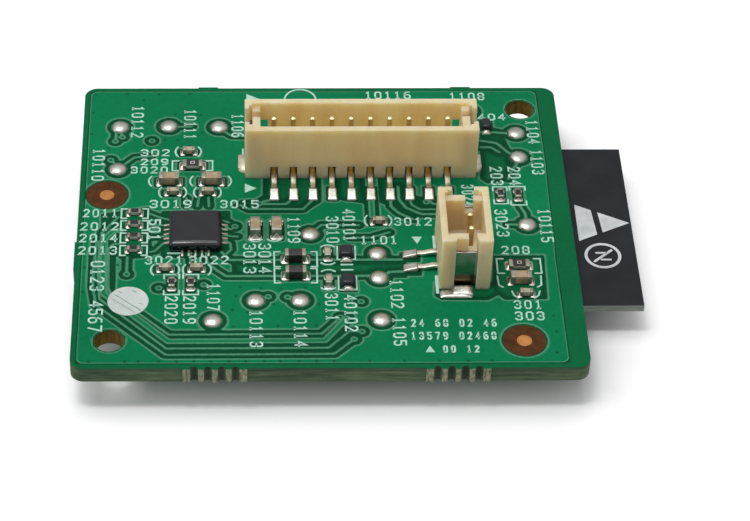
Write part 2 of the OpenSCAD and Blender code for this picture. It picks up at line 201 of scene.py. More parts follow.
def piece(name, parts, materials, slot, *stands, sharp=35.0, attributes=None):
    # joins parts into one mesh: coincident points are merged, faces are turned outwards
    verts = np.concatenate([v for v, _, _ in parts])
    starts = np.cumsum([0] + [len(v) for v, _, _ in parts])
    rounded = np.round(verts, 5)
    _, first, back = np.unique(rounded, axis=0, return_index=True, return_inverse=True)
    back = back.reshape(-1)
    loops, sizes, marks = [], [], []
    for (v, faces, m), start in zip(parts, starts):
        for f in faces:
            f = back[f + start]
            for g in (tidyQuads(f) if f.shape[1] == 4 else (f,)):
                loops.append(g.reshape(-1))
                sizes.append(np.full(len(g), g.shape[1]))
                marks.append(np.full(len(g), m))
    loops, sizes, marks = np.concatenate(loops), np.concatenate(sizes), np.concatenate(marks)
    points = ((verts[first] + home) * 0.001).astype(np.float32)
    mesh = bpy.data.meshes.new(name)
    mesh.vertices.add(len(first))
    mesh.vertices.foreach_set("co", points.reshape(-1))
    mesh.loops.add(len(loops))
    mesh.loops.foreach_set("vertex_index", loops.astype(np.int32))
    mesh.polygons.add(len(sizes))
    mesh.polygons.foreach_set("loop_start", (np.cumsum(sizes) - sizes).astype(np.int32))
    mesh.polygons.foreach_set("material_index", marks.astype(np.int32))
    for key, values in (attributes or {}).items():
        layer = mesh.attributes.new(key, "FLOAT", "POINT")
        layer.data.foreach_set("value", values[first].astype(np.float32))
    mesh.update(calc_edges=True)
    mesh.validate()
    work = bmesh.new()
    work.from_mesh(mesh)
    bmesh.ops.recalc_face_normals(work, faces=work.faces)
    work.to_mesh(mesh)
    work.free()
    mesh.shade_smooth()
    mesh.set_sharp_from_angle(angle=math.radians(sharp))
    made = bpy.data.objects.new(name, mesh)
    bpy.context.scene.collection.objects.link(made)
    for m in materials:
        mesh.materials.append(m)
    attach(made, "root")
    if stands:
        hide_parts(*stands)
    return made


# Materials.

boardTop, boardUnder = 0.0043, 0.0029  # the carrier's faces, in metres above the rest face


def linear(code):
    # sRGB hex to linear: c/12.92 below 0.04045, otherwise ((c + 0.055) / 1.055)^2.4
    c = np.array([int(code[i:i + 2], 16) / 255 for i in (1, 3, 5)])
    return (*np.where(c < 0.04045, c / 12.92, ((c + 0.055) / 1.055) ** 2.4), 1.0)


def add(tree, kind, sockets=None, **settings):
    node = tree.nodes.new(kind)
    for key, value in settings.items():
        setattr(node, key, value)
    for key, value in (sockets or {}).items():
        if isinstance(value, bpy.types.NodeSocket):
            tree.links.new(value, node.inputs[key])
        else:
            node.inputs[key].default_value = value
    return node


def maths(tree, how, a, b=0.0, clamp=False):
    node = add(tree, "ShaderNodeMath", {0: a, 1: b}, operation=how, use_clamp=clamp)
    return node.outputs[0]


def between(tree, value, low, high, start=0.0, end=1.0):
    # start at low, end at high, and even between them
    ends = {"From Min": low, "From Max": high, "To Min": start, "To Max": end}
    return add(tree, "ShaderNodeMapRange", {"Value": value, **ends}).outputs[0]


def axis(tree, vector, k):
    return add(tree, "ShaderNodeSeparateXYZ", {0: vector}).outputs[k]


def stretched(tree, where, *scale):
    return add(tree, "ShaderNodeMapping", {"Vector": where, "Scale": scale}).outputs[0]


def attribute(tree, name):
    return add(tree, "ShaderNodeAttribute", attribute_name=name).outputs["Fac"]


def ramp(tree, source, stops):
    node = add(tree, "ShaderNodeValToRGB", {0: source})
    marks = node.color_ramp.elements
    while len(marks) < len(stops):
        marks.new(0.5)
    for mark, (at, colour) in zip(marks, stops):
        mark.position = at
        mark.color = linear(colour) if isinstance(colour, str) else (colour, colour, colour, 1)
    return node.outputs[0]


def noise(tree, where, scale, detail=3.0, rough=0.5, warp=0.0):
    shape = {"Scale": scale, "Detail": detail, "Roughness": rough, "Distortion": warp}
    return add(tree, "ShaderNodeTexNoise", {"Vector": where, **shape}).outputs[0]


def drift(tree, where, scale, low, high, detail=3, at=(0.3, 0.7)):
    # two colours or values that wander into each other
    return ramp(tree, noise(tree, where, scale, detail), [(at[0], low), (at[1], high)])


def blended(tree, a, b, factor=1.0, how="MIX"):
    sockets = {0: factor, 6: a, 7: b}
    return add(tree, "ShaderNodeMix", sockets, data_type="RGBA", blend_type=how).outputs[2]


def newMaterial(name):
    m = bpy.data.materials.new(name)
    m.use_nodes = True
    m.node_tree.nodes.clear()
    return m, m.node_tree, add(m.node_tree, "ShaderNodeTexCoord").outputs["Object"]


def close(tree, colour, rough, height, depth, strength=0.5, **shader):
    # height becomes a bump depth metres deep; shader sets constants on the shader's sockets
    relief = {"Strength": strength, "Distance": depth, "Height": height}
    bump = add(tree, "ShaderNodeBump", relief)
    sockets = {"Base Color": colour, "Roughness": rough, "Normal": bump.outputs[0]}
    sockets.update({key.replace("_", " "): value for key, value in shader.items()})
    made = add(tree, "ShaderNodeBsdfPrincipled", sockets)
    add(tree, "ShaderNodeOutputMaterial", {0: made.outputs[0]})


def plainFinish(name, dark, light, scale, rough, roughTo, grain, depth, strength=0.5, **shader):
    # two shades drifting on a broad noise, roughness on a finer one, grain as bump
    m, tree, where = newMaterial(name)
    colour = drift(tree, where, scale, dark, light, 4)
    gloss = drift(tree, where, scale * 3.1, rough, roughTo)
    close(tree, colour, gloss, noise(tree, where, grain, 4, 0.6), depth, strength, **shader)
    return m


def solderMask(name, wide, bare, edge, pour, rough, specular):
    # copper is the signed distance in mm to the nearest copper edge, above 0 over copper;
    # spot is the distance in mm to the nearest plugged hole
    m, tree, where = newMaterial(name)
    wander = between(tree, noise(tree, where, 5200), 0.0, 1.0, -0.035, 0.035)
    level = between(tree, maths(tree, "ADD", attribute(tree, "copper"), wander), -0.8, 0.4)
    # painted shade: bare mask within about 0.3 mm of copper is darker than wide bare areas
    # the edge band just inside each copper edge is partly thinner mask and partly a painted
    # highlight
    colour = ramp(tree, level, [(0.14, wide), (0.4, bare), (0.64, bare),
                                (0.7, edge), (0.74, edge), (0.84, pour)])
    hole = between(tree, attribute(tree, "spot"), 0.07, 0.19, 0.8, 0.0)
    colour = blended(tree, colour, linear(bare), hole)
    shade = drift(tree, where, 150, 0.8, 1.06, 3, (0.25, 0.75))
    colour = blended(tree, colour, shade, how="MULTIPLY")
    cloud = drift(tree, where, 2600, 0.94, 1.05, 2)
    colour = blended(tree, colour, cloud, how="MULTIPLY")
    gloss = drift(tree, where, 900, rough, rough + 0.14)
    peel = noise(tree, where, 5200, 3, 0.55)
    close(tree, colour, gloss, peel, 0.00001, 0.3, Specular_IOR_Level=specular)
    return m


def cutEdge(name, dark, light, stretch, lip):
    # glass fibre layers: noise drawn out along the board, packed tight through its
    # thickness, mask colour at the lips; tornAndShaded is 1 on a broken web, -1 in the holes
    # between, which are painted dark as painted shade
    m, tree, where = newMaterial(name)
    fibre = noise(tree, stretched(tree, where, *stretch), 1000, 5, 0.65)
    colour = ramp(tree, fibre, [(0.3, dark), (0.72, light)])
    cloud = drift(tree, where, 220, 0.72, 1.3, 3, (0.3, 0.72))
    colour = blended(tree, colour, cloud, how="MULTIPLY")
    tall = maths(tree, "ADD", axis(tree, where, 2), maths(tree, "MULTIPLY", fibre, 0.0003))
    upper = between(tree, tall, boardTop - 0.0003, boardTop + 0.00015, 0.0, 0.8)
    lower = between(tree, tall, boardUnder + 0.00015, boardUnder + 0.0003, 0.5, 0.0)
    colour = blended(tree, colour, linear(lip), upper)
    colour = blended(tree, colour, linear(lip), lower)
    frayed = noise(tree, stretched(tree, where, 1.6, 1.6, 0.6), 3200, 3, 0.6)
    frayed = ramp(tree, frayed, [(0.35, "#5d6449"), (0.62, "#b4b79b")])
    tornAndShaded = attribute(tree, "tornAndShaded")
    colour = blended(tree, colour, frayed, maths(tree, "MULTIPLY", tornAndShaded, 0.9, True))
    # painted shade: the bites between the webs, where tornAndShaded is below 0, are painted dark
    paintedHoleShade = maths(tree, "MULTIPLY", tornAndShaded, -0.85, True)
    colour = blended(tree, colour, linear("#1b2415"), paintedHoleShade)
    gloss = ramp(tree, fibre, [(0.2, 0.85), (0.8, 0.6)])
    close(tree, colour, gloss, fibre, 0.00003, 0.7, Specular_IOR_Level=0.2)
    return m


def bodyPlastic(name, dark, light, depth):
    # nylon: soft light inside it, faint flow clouds and a fine moulded grain
    m, tree, where = newMaterial(name)
    clouds = noise(tree, stretched(tree, where, 1.0, 1.0, 0.25), 520, 3, 0.55, 0.4)
    colour = ramp(tree, clouds, [(0.3, dark), (0.72, light)])
    grain = noise(tree, where, 9000, 3, 0.6)
    gloss = ramp(tree, grain, [(0.3, 0.36), (0.7, 0.5)])
    close(tree, colour, gloss, grain, 0.000006, 0.4, Specular_IOR_Level=0.4,
          Subsurface_Weight=0.85, Subsurface_Scale=depth, Subsurface_Radius=(1.0, 0.77, 0.43))
    return m


def tabFinish(name, dark, light, tint):
    # polished plate, browner towards its foot
    m, tree, where = newMaterial(name)
    colour = drift(tree, where, 700, dark, light, 4)
    tall = axis(tree, where, 2)
    # browner below about 1.1 mm above the board
    footBrown = between(tree, tall, boardTop + 0.00095, boardTop + 0.00125, 0.93, 0.0)
    colour = blended(tree, colour, linear(tint), footBrown)
    fineLines = noise(tree, stretched(tree, where, 0.25, 3.0, 1.0), 2400, 4, 0.7)
    gloss = drift(tree, where, 2100, 0.17, 0.27)
    close(tree, colour, gloss, fineLines, 0.000006, 0.25, Metallic=1.0)
    return m


def pinFinish(name, dark, light, reflectedCream, reflectedCreamTo):
    # tinned foot, and a post painted golden as a painted reflection of the cream housing round
    # it: the two meet just above the bend
    m, tree, where = newMaterial(name)
    upper = between(tree, axis(tree, where, 2), boardTop + 0.00055, boardTop + 0.001)
    foot = drift(tree, where, 1200, dark, light, 4)
    # painted reflection: the post takes the golden tone of the cream housing round it
    post = drift(tree, where, 1200, reflectedCream, reflectedCreamTo, 4)
    gloss = drift(tree, where, 3700, 0.28, 0.44)
    grain = noise(tree, where, 7000, 4, 0.6)
    close(tree, blended(tree, foot, post, upper), gloss, grain, 0.000005, 0.4, Metallic=1.0)
    return m


def twoFaced(name, face, faceTo, side, sideTo, rough, specular):
    # flat faces take the coating, upright faces show the cut laminate
    m, tree, where = newMaterial(name)
    up = axis(tree, add(tree, "ShaderNodeNewGeometry").outputs["Normal"], 2)
    flat = maths(tree, "GREATER_THAN", maths(tree, "ABSOLUTE", up), 0.6)
    coat = drift(tree, where, 400, face, faceTo, 4)
    cut = drift(tree, stretched(tree, where, 0.6, 0.6, 14), 1000, side, sideTo, 4)
    gloss = drift(tree, where, 900, rough, rough + 0.14)
    peel = noise(tree, where, 6000)
    close(tree, blended(tree, cut, coat, flat), gloss, peel, 0.000008, 0.35,
          Specular_IOR_Level=specular)
    return m


def brushed(name, dark, light, rough, roughTo):
    # rolled tin plate: streaks drawn out along x
    m, tree, where = newMaterial(name)
    streak = noise(tree, stretched(tree, where, 0.12, 1.6, 1.6), 4200, 4, 0.6)
    gloss = ramp(tree, streak, [(0.3, rough), (0.7, roughTo)])
    colour = drift(tree, where, 300, dark, light, 4)
    close(tree, colour, gloss, streak, 0.000002, 0.2, Metallic=1.0)
    return m


def coated(name, dark, light, scale, rough, roughTo, grain, depth, specular):
    return plainFinish(name, dark, light, scale, rough, roughTo, grain, depth,
                       Specular_IOR_Level=specular)


def metal(name, dark, light, scale, rough, roughTo, grain, depth, share=1.0):
    return plainFinish(name, dark, light, scale, rough, roughTo, grain, depth, 0.4,
                       Metallic=share)


maskGreen = solderMask("greenSolderMask", "#0c613b", "#06462a", "#4c8b6b", "#0a7449", 0.34, 0.03)
maskUnder = solderMask("greenSolderMaskUnder", "#0c643c", "#023d20", "#3b825f", "#0c7549",
                       0.3, 0.06)
laminate = coated("bareLaminate", "#38200a", "#553112", 1400, 0.35, 0.55, 6000, 0.00001, 0.1)
boardEdge = cutEdge("boardCutEdge", "#374a33", "#6a7b5e", (0.35, 0.35, 5.0), "#25553a")
# the drilled walls are partly laminate brown and partly painted light from beneath the holes,
# which lightens them towards olive
holeWall = cutEdge("drilledWall", "#563f17", "#a0853a", (2.5, 2.5, 0.6), "#54441c")
ink = coated("whiteInk", "#96c4b1", "#b9dccd", 1500, 0.5, 0.7, 9000, 0.000004, 0.15)
moduleInk = coated("moduleInk", "#b4b8ba", "#d3d6d8", 900, 0.5, 0.7, 9000, 0.000004, 0.15)
discInk = coated("discInk", "#aeb7b2", "#c5cdc8", 900, 0.45, 0.65, 5000, 0.000006, 0.2)
discMark = coated("discMarks", "#8b958f", "#a3aca6", 900, 0.5, 0.7, 5000, 0.000004, 0.15)
copperDot = plainFinish("fiducialCopper", "#9c5c1d", "#bd7f3e", 1500, 0.4, 0.55, 5000, 0.000006,
                        Metallic=0.3)
solder = metal("solderTin", "#9a9a91", "#c1c0b8", 1300, 0.26, 0.4, 2600, 0.00001)
tin = metal("platedTin", "#b0a998", "#cfc8b8", 1200, 0.3, 0.44, 7000, 0.000005)
pinTin = pinFinish("tinnedPin", "#b8b2a4", "#d6d0c4", "#bfae7d", "#dccb9c")
capTin = metal("mattTin", "#807d71", "#a5a193", 1600, 0.4, 0.54, 7000, 0.000006, 0.8)
mirrorTin = tabFinish("tabTin", "#97958b", "#aba89e", "#75634e")
oldSolder = metal("agedSolder", "#bdb59c", "#dad3bd", 1300, 0.35, 0.5, 2600, 0.00001, 0.35)
glossResin = plainFinish("polishedResin", "#0c0d11", "#14151a", 800, 0.07, 0.11, 3000, 0.000003,
                         0.2, Specular_IOR_Level=0.42)
resin = plainFinish("blackResin", "#161719", "#222327", 800, 0.2, 0.34, 8000, 0.000005,
                    0.4, Specular_IOR_Level=0.3)
glassBlack = coated("resistorGlaze", "#141312", "#2c2723", 2400, 0.18, 0.35, 5000, 0.000006, 0.35)
ceramic = coated("whiteCeramic", "#a8a59b", "#c9c6bc", 2400, 0.5, 0.7, 8000, 0.000006, 0.3)
tanCeramic = coated("tanCeramic", "#8f7a5e", "#b39d80", 1500, 0.42, 0.6, 7000, 0.000006, 0.2)
paleCeramic = coated("paleCeramic", "#948b77", "#b8b09c", 1500, 0.4, 0.6, 7000, 0.000006, 0.2)
ferrite = coated("ferriteBlack", "#1b1917", "#3a3632", 3000, 0.3, 0.5, 7000, 0.00001, 0.35)
cream = bodyPlastic("creamNylon", "#d8bb90", "#e6cfaa", 0.0025)
blackBoard = twoFaced("blackSolderMask", "#191b1e", "#222529", "#78807a", "#a3aaa2", 0.4, 0.13)
shieldTin = brushed("shieldTinPlate", "#b3b3b0", "#c6c6c2", 0.24, 0.36)
antennaMask = coated("maskedAntenna", "#26272b", "#35373b", 600, 0.35, 0.5, 6000, 0.000006, 0.25)
print("materials made,", len(bpy.data.materials))


# The carrier board.

board = {
    "thick": 1.4, "relief": 0.03,         # copper stands this far above the bare laminate
    "rise": 0.14, "lip": 0.06,            # width of that slope, and height of the wall's lip
    "step": 0.14, "underStep": 0.22,      # spacing of the points of the two faces
    "gap": 0.32, "viaR": 0.28, "domeLandR": 0.74,  # clear strip round a track, and two lands
    "pour": [(-18.5, 15.45), (17.5, 15.45), (17.53, 6.2), (17.36, -4.5), (17.38, -15.4),
             (-18.5, -15.4)],
    "pourR": 0.6, "pourCore": [8, 11],    # corners past the core are rounded
    "pourSlope": 1.8, "rimSlope": 6,      # the printed rim is sharper than other edges
    "clearingGap": 0.05, "holeGap": 0.07, "fiducialGap": 0.12,
    "fiducials": [(-16.81, 2.95), (14.27, -13.12)], "fiducialR": 1.575,
    "disc": (-14.87, -8.88, 1.525),
    "edgeY": 15.88, "webs": [-8.4, 9.3], "webHalf": 2.4,  # front edge and its broken webs
}
under = {
    "land": (11.0, 0.87, 25.0, 19.4), "pitch": 1.27, "firstX": 0.1, "padW": 0.62, "padL": 1.0,
    "rowsY": (10.1, -8.36), "rowsX": 8.1, "rowsHalf": 8.6, "trackHalf": 0.18,
    "viaR": 0.3, "viaGapR": 0.62,
}
domes = [  # test points
    (-16, 11), (-12.13, 11.1), (-16.05, 5.94), (-8.13, 11), (-1.16, -1.6), (3.88, -3.8),
    (3.9, -6.43), (3.88, -10.93), (-8.57, -11), (-5.37, -8.87), (-2.06, -8.85), (15.49, 10.2),
    (15.46, 7.26), (15.5, -0.61), (5.5, 12.9), (11.9, 12.9),
]
vias = [  # plugged vias
    (0.85, -10.65), (2.4, -12.15), (1.8, -12.95), (-15.05, -6), (2.45, -9), (-13.45, 9.35),
    (-16.35, 9.3), (-15.8, 9.8), (-4.45, -8.45), (-3, -8.5), (-12.6, -7.5), (-9.25, -7.15),
    (-6.9, -0.7), (-16.65, 7.05), (-5, 1.9), (7.9, 2.05),
]
dots = [  # small plugged holes of the pour; those of the front edge stand in a row
    (-18.1, 15.08), (-15.56, 15.14), (-12.99, 15.1), (-10.54, 15.12), (-14.18, 14.34),
    (-18.23, 12.81), (-18.26, 10.17), (-11.61, 12.61), (-9.6, 12.49), (-9.45, 10.36),
    (-12.41, 9.44), (-11.37, 9.43), (-14.04, 8.75), (-16.84, 8.44), (-18.26, -5.26),
    (-18.29, -7.91), (-18.29, -10.53), (-15.75, -4.99), (-6.5, -7.43), (-5.01, -7.58),
    (-3.48, -7.57), (-1.67, -7.46), (-6.84, -8.4), (-4.06, -9.27), (-0.7, -9.25), (-7.11, -9.88),
    (-2.75, -10.08), (-6.01, -10.11), (-7.04, -11.62), (-3.75, -11.55), (-0.98, -11.53),
    (16.63, -10.56), (16.69, -12.23), (16.56, -14.4),
]
dots += [(x, -15.2) for x in (
    -17.57, -14.97, -13.97, -12.48, -11.19, -9.94, -8.71, -7.38, -6.15, -4.79, -3.64, -2.29,
    -1.03, 0.27, 2.85, 5.36, 7.92, 10.01, 11.75,
)]
tracks = {  # points of the tracks of each width
    0.2: [
        [(1.8, -12.95), (0.3, -14.45), (-12, -14.5), (-17.25, -9.3), (-17.55, -7.3),
         (-17.55, -4.8), (-17.4, -2.3)],
        [(2.4, -12.15), (1.5, -12.1), (-0.1, -13.82), (-11.95, -13.87), (-17, -8.65),
         (-17.25, -4.8), (-17.05, -1.4), (-15.85, 0.4)],
        [(0.85, -10.65), (-0.55, -12.37), (-11.8, -12.43), (-16.15, -8.1), (-16.4, -7.45),
         (-16.5, -3.3), (-16.2, -2.7), (-15.65, -2.6)],
        [(-7.65, -0.7), (-7.25, -1.05), (-6.9, -0.7)],
        [(-7.75, -2.25), (-7.25, -2.6), (-7.2, -3.3), (-7.55, -3.75)],
        [(-7.9, 0), (-7.35, -0.25)], [(-7.9, -1.7), (-6.7, -1.85)],
        [(6.65, 2.35), (6.75, 1.75), (7.35, 1.2), (8.8, 1.2)],
        [(8.1, 2.3), (8.45, 1.8), (9.4, 1.8)], [(-11.8, 0), (-12.7, 0.35), (-13.5, 0.8)],
        [(-11.8, -0.55), (-13.55, -0.55)], [(-11.8, -1.7), (-12.65, -1.85), (-13.5, -1.95)],
        [(-11.75, -2.25), (-12.4, -2.65), (-13, -3.45), (-13.35, -3.55)],
        [(-10.25, -3.55), (-10.25, -4.75)], [(-9.1, -3.55), (-9, -4.75)],
        [(-10.65, 1.7), (-10.65, 2.55)], [(-9.8, 1.6), (-9.65, 2.75)],
        [(-8.9, 1.6), (-8.95, 2.65)],
    ],
    0.22: [
        [(-15.05, -4.1), (-15.05, -6)], [(-5.35, -8.85), (-4.45, -8.45)],
        [(-2.05, -8.85), (-3, -8.5)], [(-16.3, 10.3), (-16.35, 9.3)], [(-16, 10.8), (-15.8, 9.8)],
        [(-11.7, 11.05), (-10.3, 11.1)], [(-15.9, 6.15), (-14.8, 7.35), (-13.5, 7.5)],
        [(-16.15, 6.4), (-16.65, 7.1)], [(-7.95, 10.7), (-7.15, 9.95), (-6.15, 9.9)],
        [(-3.84, 2.4), (-4.7, 2.15), (-5, 1.9)], [(-4.7, 1.85), (-2.95, 1.85), (-2.35, 2.5)],
        [(-0.85, 2.35), (-1.65, 1.25), (-5.85, 1.3), (-6.5, 1.75)], [(14, -0.55), (15.45, -0.6)],
        [(15.1, 1.6), (15.45, 0.7), (15.5, -0.3)], [(14.45, 4.7), (14.8, 5.65), (15.45, 6.8)],
        [(-1.16, -1.6), (-0.3, -0.55), (2.6, -0.6)], [(1.9, -2.0), (3.4, -2.0), (4.9, -1.4)],
    ],
    0.24: [
        [(-7.95, -3.55), (-7.35, -4.45), (5.7, -4.45)],
        [(-9, -4.75), (-8.45, -5.4), (-7.6, -6.22), (3.25, -6.22), (3.9, -6.45), (4.75, -5.8),
         (5.8, -5.75)],
        [(5.15, 2.35), (5.15, 1.55), (5.7, 0.8), (6.8, 0.05)],
        [(5.8, 3.85), (5.8, 2.35), (6.3, 1.4), (7.45, 0.65), (8.75, 0.65)],
        [(12.7, 10.35), (13.85, 10.3), (14.85, 10.2)],
        [(12.6, 9.3), (13.85, 9), (14.75, 7.8), (15.25, 7.4)],
        [(12.55, 8.5), (13.35, 8.5), (14, 7.9)],
    ],
    0.5: [
        [(3.65, 2.35), (3.65, 0.4)],
    ],
    0.54: [
        [(1.35, -10.75), (-0.35, -13.07), (-11.85, -13.12), (-16.7, -8.1), (-16.9, -4.8),
         (-16.8, -2.05), (-16.2, -1.15), (-15.65, -1.1)],
    ],
}
clearings = [  # bare laminate between the tracks
    [(-4.65, 5.2), (-4.7, 2.85), (-5.2, 2.35), (-6.4, 2.3), (-7.05, 1.7), (-5.95, 0.85),
     (-1.6, 0.85), (-0.25, 2.1), (-0.2, 5.2)],
    [(-7.1, -4.1), (6, -4.1), (5.95, -6.4), (-7.1, -6.4)],
    [(8.75, 1.0), (6.85, 0.5), (5.2, 0.85), (5.7, 2.7), (8.85, 2.65)],
    [(-17.15, 0.7), (-13.5, 1.5), (-13.2, -4.1), (-15.5, -4.35), (-17, -2.3)],
    [(12.75, 11.05), (14.25, 10.7), (14.95, 7.8), (14.55, 4.6), (12.8, 4.2), (12.3, 4.75)],
    [(12.7, -4.1), (16.45, -4.05), (16.3, -8.75), (13.15, -8.8), (12.3, -7.75)],
    [(0.95, 5.2), (0.95, 2.4), (3.2, 1.9), (3.2, 5.2)],
    [(4.3, 5.2), (4.3, 2.0), (5.3, 1.6), (6.9, 2.2), (6.9, 5.2)],
    [(-17.95, -3.4), (-15.95, -3.4), (-15.9, -7.6), (-16.6, -8.6), (-17.05, -9.3),
     (-17.85, -7.85)],
    [(8.1, -7.0), (12.9, -7.0), (12.85, -8.2), (11.9, -8.85), (8.45, -8.8), (8, -8.4)],
]
underTracks = [
    [(-16.35, 9.3), (-9.5, 9.3), (-6.2, 6.0), (-2.0, 6.0)],
    [(-15.8, 9.8), (-9.2, 9.8), (-5.7, 6.7), (-2.0, 6.7)],
    [(-13.45, 9.35), (-10.8, 7.2), (-6.6, 4.4), (-2.0, 4.4)], [(0.85, -10.65), (0.85, -9.0)],
    [(2.4, -12.15), (2.4, -9.0)], [(1.8, -12.95), (4.4, -11.2), (4.4, -9.0)],
    [(-15.05, -6), (-12.0, -3.0), (-2.0, -3.0)], [(-12.6, -7.5), (-9.4, -4.3), (-2.0, -4.3)],
    [(-4.45, -8.45), (-2.0, -6.0)], [(2.45, -9), (5.7, -9.6), (5.7, -9.0)],
]


def lineGap(p, line):
    # distance from each point to the nearest of the line's segments
    line = np.asarray(line, float)
    a, d = line[None, :-1], (line[1:] - line[:-1])[None]
    t = np.clip(((p[:, None] - a) * d).sum(-1) / (d * d).sum(-1), 0, 1)
    return np.linalg.norm(p[:, None] - a - t[..., None] * d, axis=-1).min(1)


def dotGap(p, centres):
    # distance from each point to the nearest centre
    return np.min([np.linalg.norm(p - c, axis=1) for c in centres], 0)


def inside(p, ring):
    # odd number of crossings of a ray along x
    a, b = np.asarray(ring, float)[None], np.roll(np.asarray(ring, float), -1, 0)[None]
    y = p[:, None, 1]
    spans = (a[..., 1] > y) != (b[..., 1] > y)
    rise = np.where(b[..., 1] == a[..., 1], 1e-9, b[..., 1] - a[..., 1])
    meets = (b[..., 0] - a[..., 0]) * (y - a[..., 1]) / rise + a[..., 0]
    return (spans & (p[:, None, 0] < meets)).sum(1) % 2 == 1


def areaGap(p, ring, r=0.0):
    # signed distance to a closed outline, above 0 inside; r rounds its corners
    d = lineGap(p, list(ring) + [ring[0]])
    return np.where(inside(p, ring), d, -d) + r


def boxGap(p, x, y, w, h, degrees=0.0, r=0.15):
    # signed distance to a rounded rectangle, below 0 inside
    q = np.abs(spin(p - [x, y], -degrees)) - [w / 2 - r, h / 2 - r]
    return np.linalg.norm(np.maximum(q, 0), axis=1) + np.minimum(q.max(1), 0) - r


def topCopper(p):
    # signed distance to the edge of the copper: the tracks, lands and rings, and the pour
    # with a gap round each of them
    nets = [lineGap(p, line) - w / 2 for w, lines in tracks.items() for line in lines]
    nets += [dotGap(p, vias) - board["viaR"], dotGap(p, domes) - board["domeLandR"]]
    nets = np.min(nets, 0)
    r, middle = board["pourR"], np.mean(board["pour"], 0)
    inset = []
    for corner in np.array(board["pour"]):
        out = corner - middle
        inset.append(corner - np.sign(out) * r * (np.abs(out) > board["pourCore"]))
    pour = board["pourSlope"] * areaGap(p, inset, r)
    pour = np.minimum(pour, nets - board["gap"])
    for ring in clearings:
        pour = np.minimum(pour, -areaGap(p, ring) - board["clearingGap"])
    for x, y, w, h, turn in footprints:
        pour = np.minimum(pour, boxGap(p, x, y, w, h, turn))
    ring = board["fiducialR"] + board["fiducialGap"]
    pour = np.minimum(pour, dotGap(p, board["fiducials"]) - ring)
    for hole in holes:
        ring = np.ptp(hole[:, 0]) / 2 + board["holeGap"]
        pour = np.minimum(pour, dotGap(p, [hole.mean(0)]) - ring)
    copper = np.maximum(pour, -nets)
    rim = areaGap(p, board["pour"])
    return np.where((rim < 0) & (copper < 0), np.minimum(copper, board["rimSlope"] * rim), copper)


def underCopper(p):
    # a wide pour, the module's landing pads in rows along its edges, tracks and plugged vias
    land = boxGap(p, *under["land"], 0, 0.3)
    pour = np.minimum(areaGap(p, board["pour"]), land)
    pitch = under["pitch"]
    x = np.abs((p[:, 0] + under["firstX"] + pitch / 2) % pitch - pitch / 2)
    pads = boxGap(np.column_stack([x, p[:, 1] - under["land"][1]]), 0, 0, under["padW"], 40)
    rows = np.min([np.abs(p[:, 1] - y) for y in under["rowsY"]], 0) - under["padL"] / 2
    span = np.abs(p[:, 0] - under["rowsX"]) - under["rowsHalf"]
    pads = np.maximum(np.maximum(pads, rows), span)
    lines = np.min([lineGap(p, s) - under["trackHalf"] for s in underTracks], 0)
    pour = np.minimum(pour, lines - board["gap"])
    pour = np.minimum(pour, dotGap(p, vias) - under["viaGapR"])
    ring = dotGap(p, vias) - under["viaR"]
    return np.maximum(np.maximum(pour, -pads), np.maximum(-lines, -ring))


def rimLoops(node, z):
    # the boundary of a CAD node's flat top, as closed loops of points
    mesh = nodes[node].data
    co = np.zeros(len(mesh.vertices) * 3)
    mesh.vertices.foreach_get("co", co)
    co = co.reshape(-1, 3) * 1000 - home
    mesh.calc_loop_triangles()
    tri = np.zeros(len(mesh.loop_triangles) * 3, int)
    mesh.loop_triangles.foreach_get("vertices", tri)
    points, back = np.unique(np.round(co, 4), axis=0, return_inverse=True)
    tri = back.reshape(-1)[tri.reshape(-1, 3)]
    tri = tri[(np.abs(points[tri][:, :, 2] - z) < 0.002).all(1)]
    edges = np.concatenate([tri[:, [0, 1]], tri[:, [1, 2]], tri[:, [2, 0]]])
    pairs = {tuple(e) for e in edges.tolist()}
    follow = {a: b for a, b in pairs if (b, a) not in pairs}
    loops = []
    while follow:
        start, at = follow.popitem()
        ring = [start]
        while at != start:
            ring.append(at)
            at = follow.pop(at)
        loops.append(points[ring][:, :2])
    return sorted(loops, key=lambda r: -np.ptp(r[:, 0]))


def boardFace(step, circles, copperAt, z, up):
    # Delaunay surface over a lattice of points and the outlines;
    # height = z - up * relief * (1 - clip(0.5 + copper / rise, 0, 1))
    lo, hi = outline.min(0), outline.max(0)
    xs, ys = np.arange(lo[0] + step / 2, hi[0], step), np.arange(lo[1] + step / 2, hi[1], step)
    lattice = np.stack(np.meshgrid(xs, ys), -1).reshape(-1, 2)
    loops = [outline] + holes + circles
    near = np.min([lineGap(lattice, np.vstack([r, r[:1]])) for r in loops], 0)
    points = np.concatenate(loops + [lattice[near > step * 0.45]])
    counts = np.cumsum([0] + [len(r) for r in loops])
    edges = []
    for a, b in zip(counts[:-1].tolist(), counts[1:].tolist()):
        edges += [(a + i, a + (i + 1) % (b - a)) for i in range(b - a)]
    flat, _, tri = delaunay_2d_cdt(points.tolist(), edges, [], 0, 1e-6, False)[:3]
    flat, tri = np.array([tuple(v) for v in flat]), np.array(tri)
    middle = flat[tri].mean(1)
    keep = inside(middle, outline)
    for hole in holes:
        keep &= ~inside(middle, hole)
    tri, middle = tri[keep], middle[keep]
    copper = copperAt(flat)
    copper[:counts[1 + len(holes)]] = -1.0
    share = np.clip(0.5 + copper / board["rise"], 0, 1)
    height = z + up * board["relief"] * (share - 1)
    return np.column_stack([flat, height]), tri if up > 0 else tri[:, ::-1], middle, copper


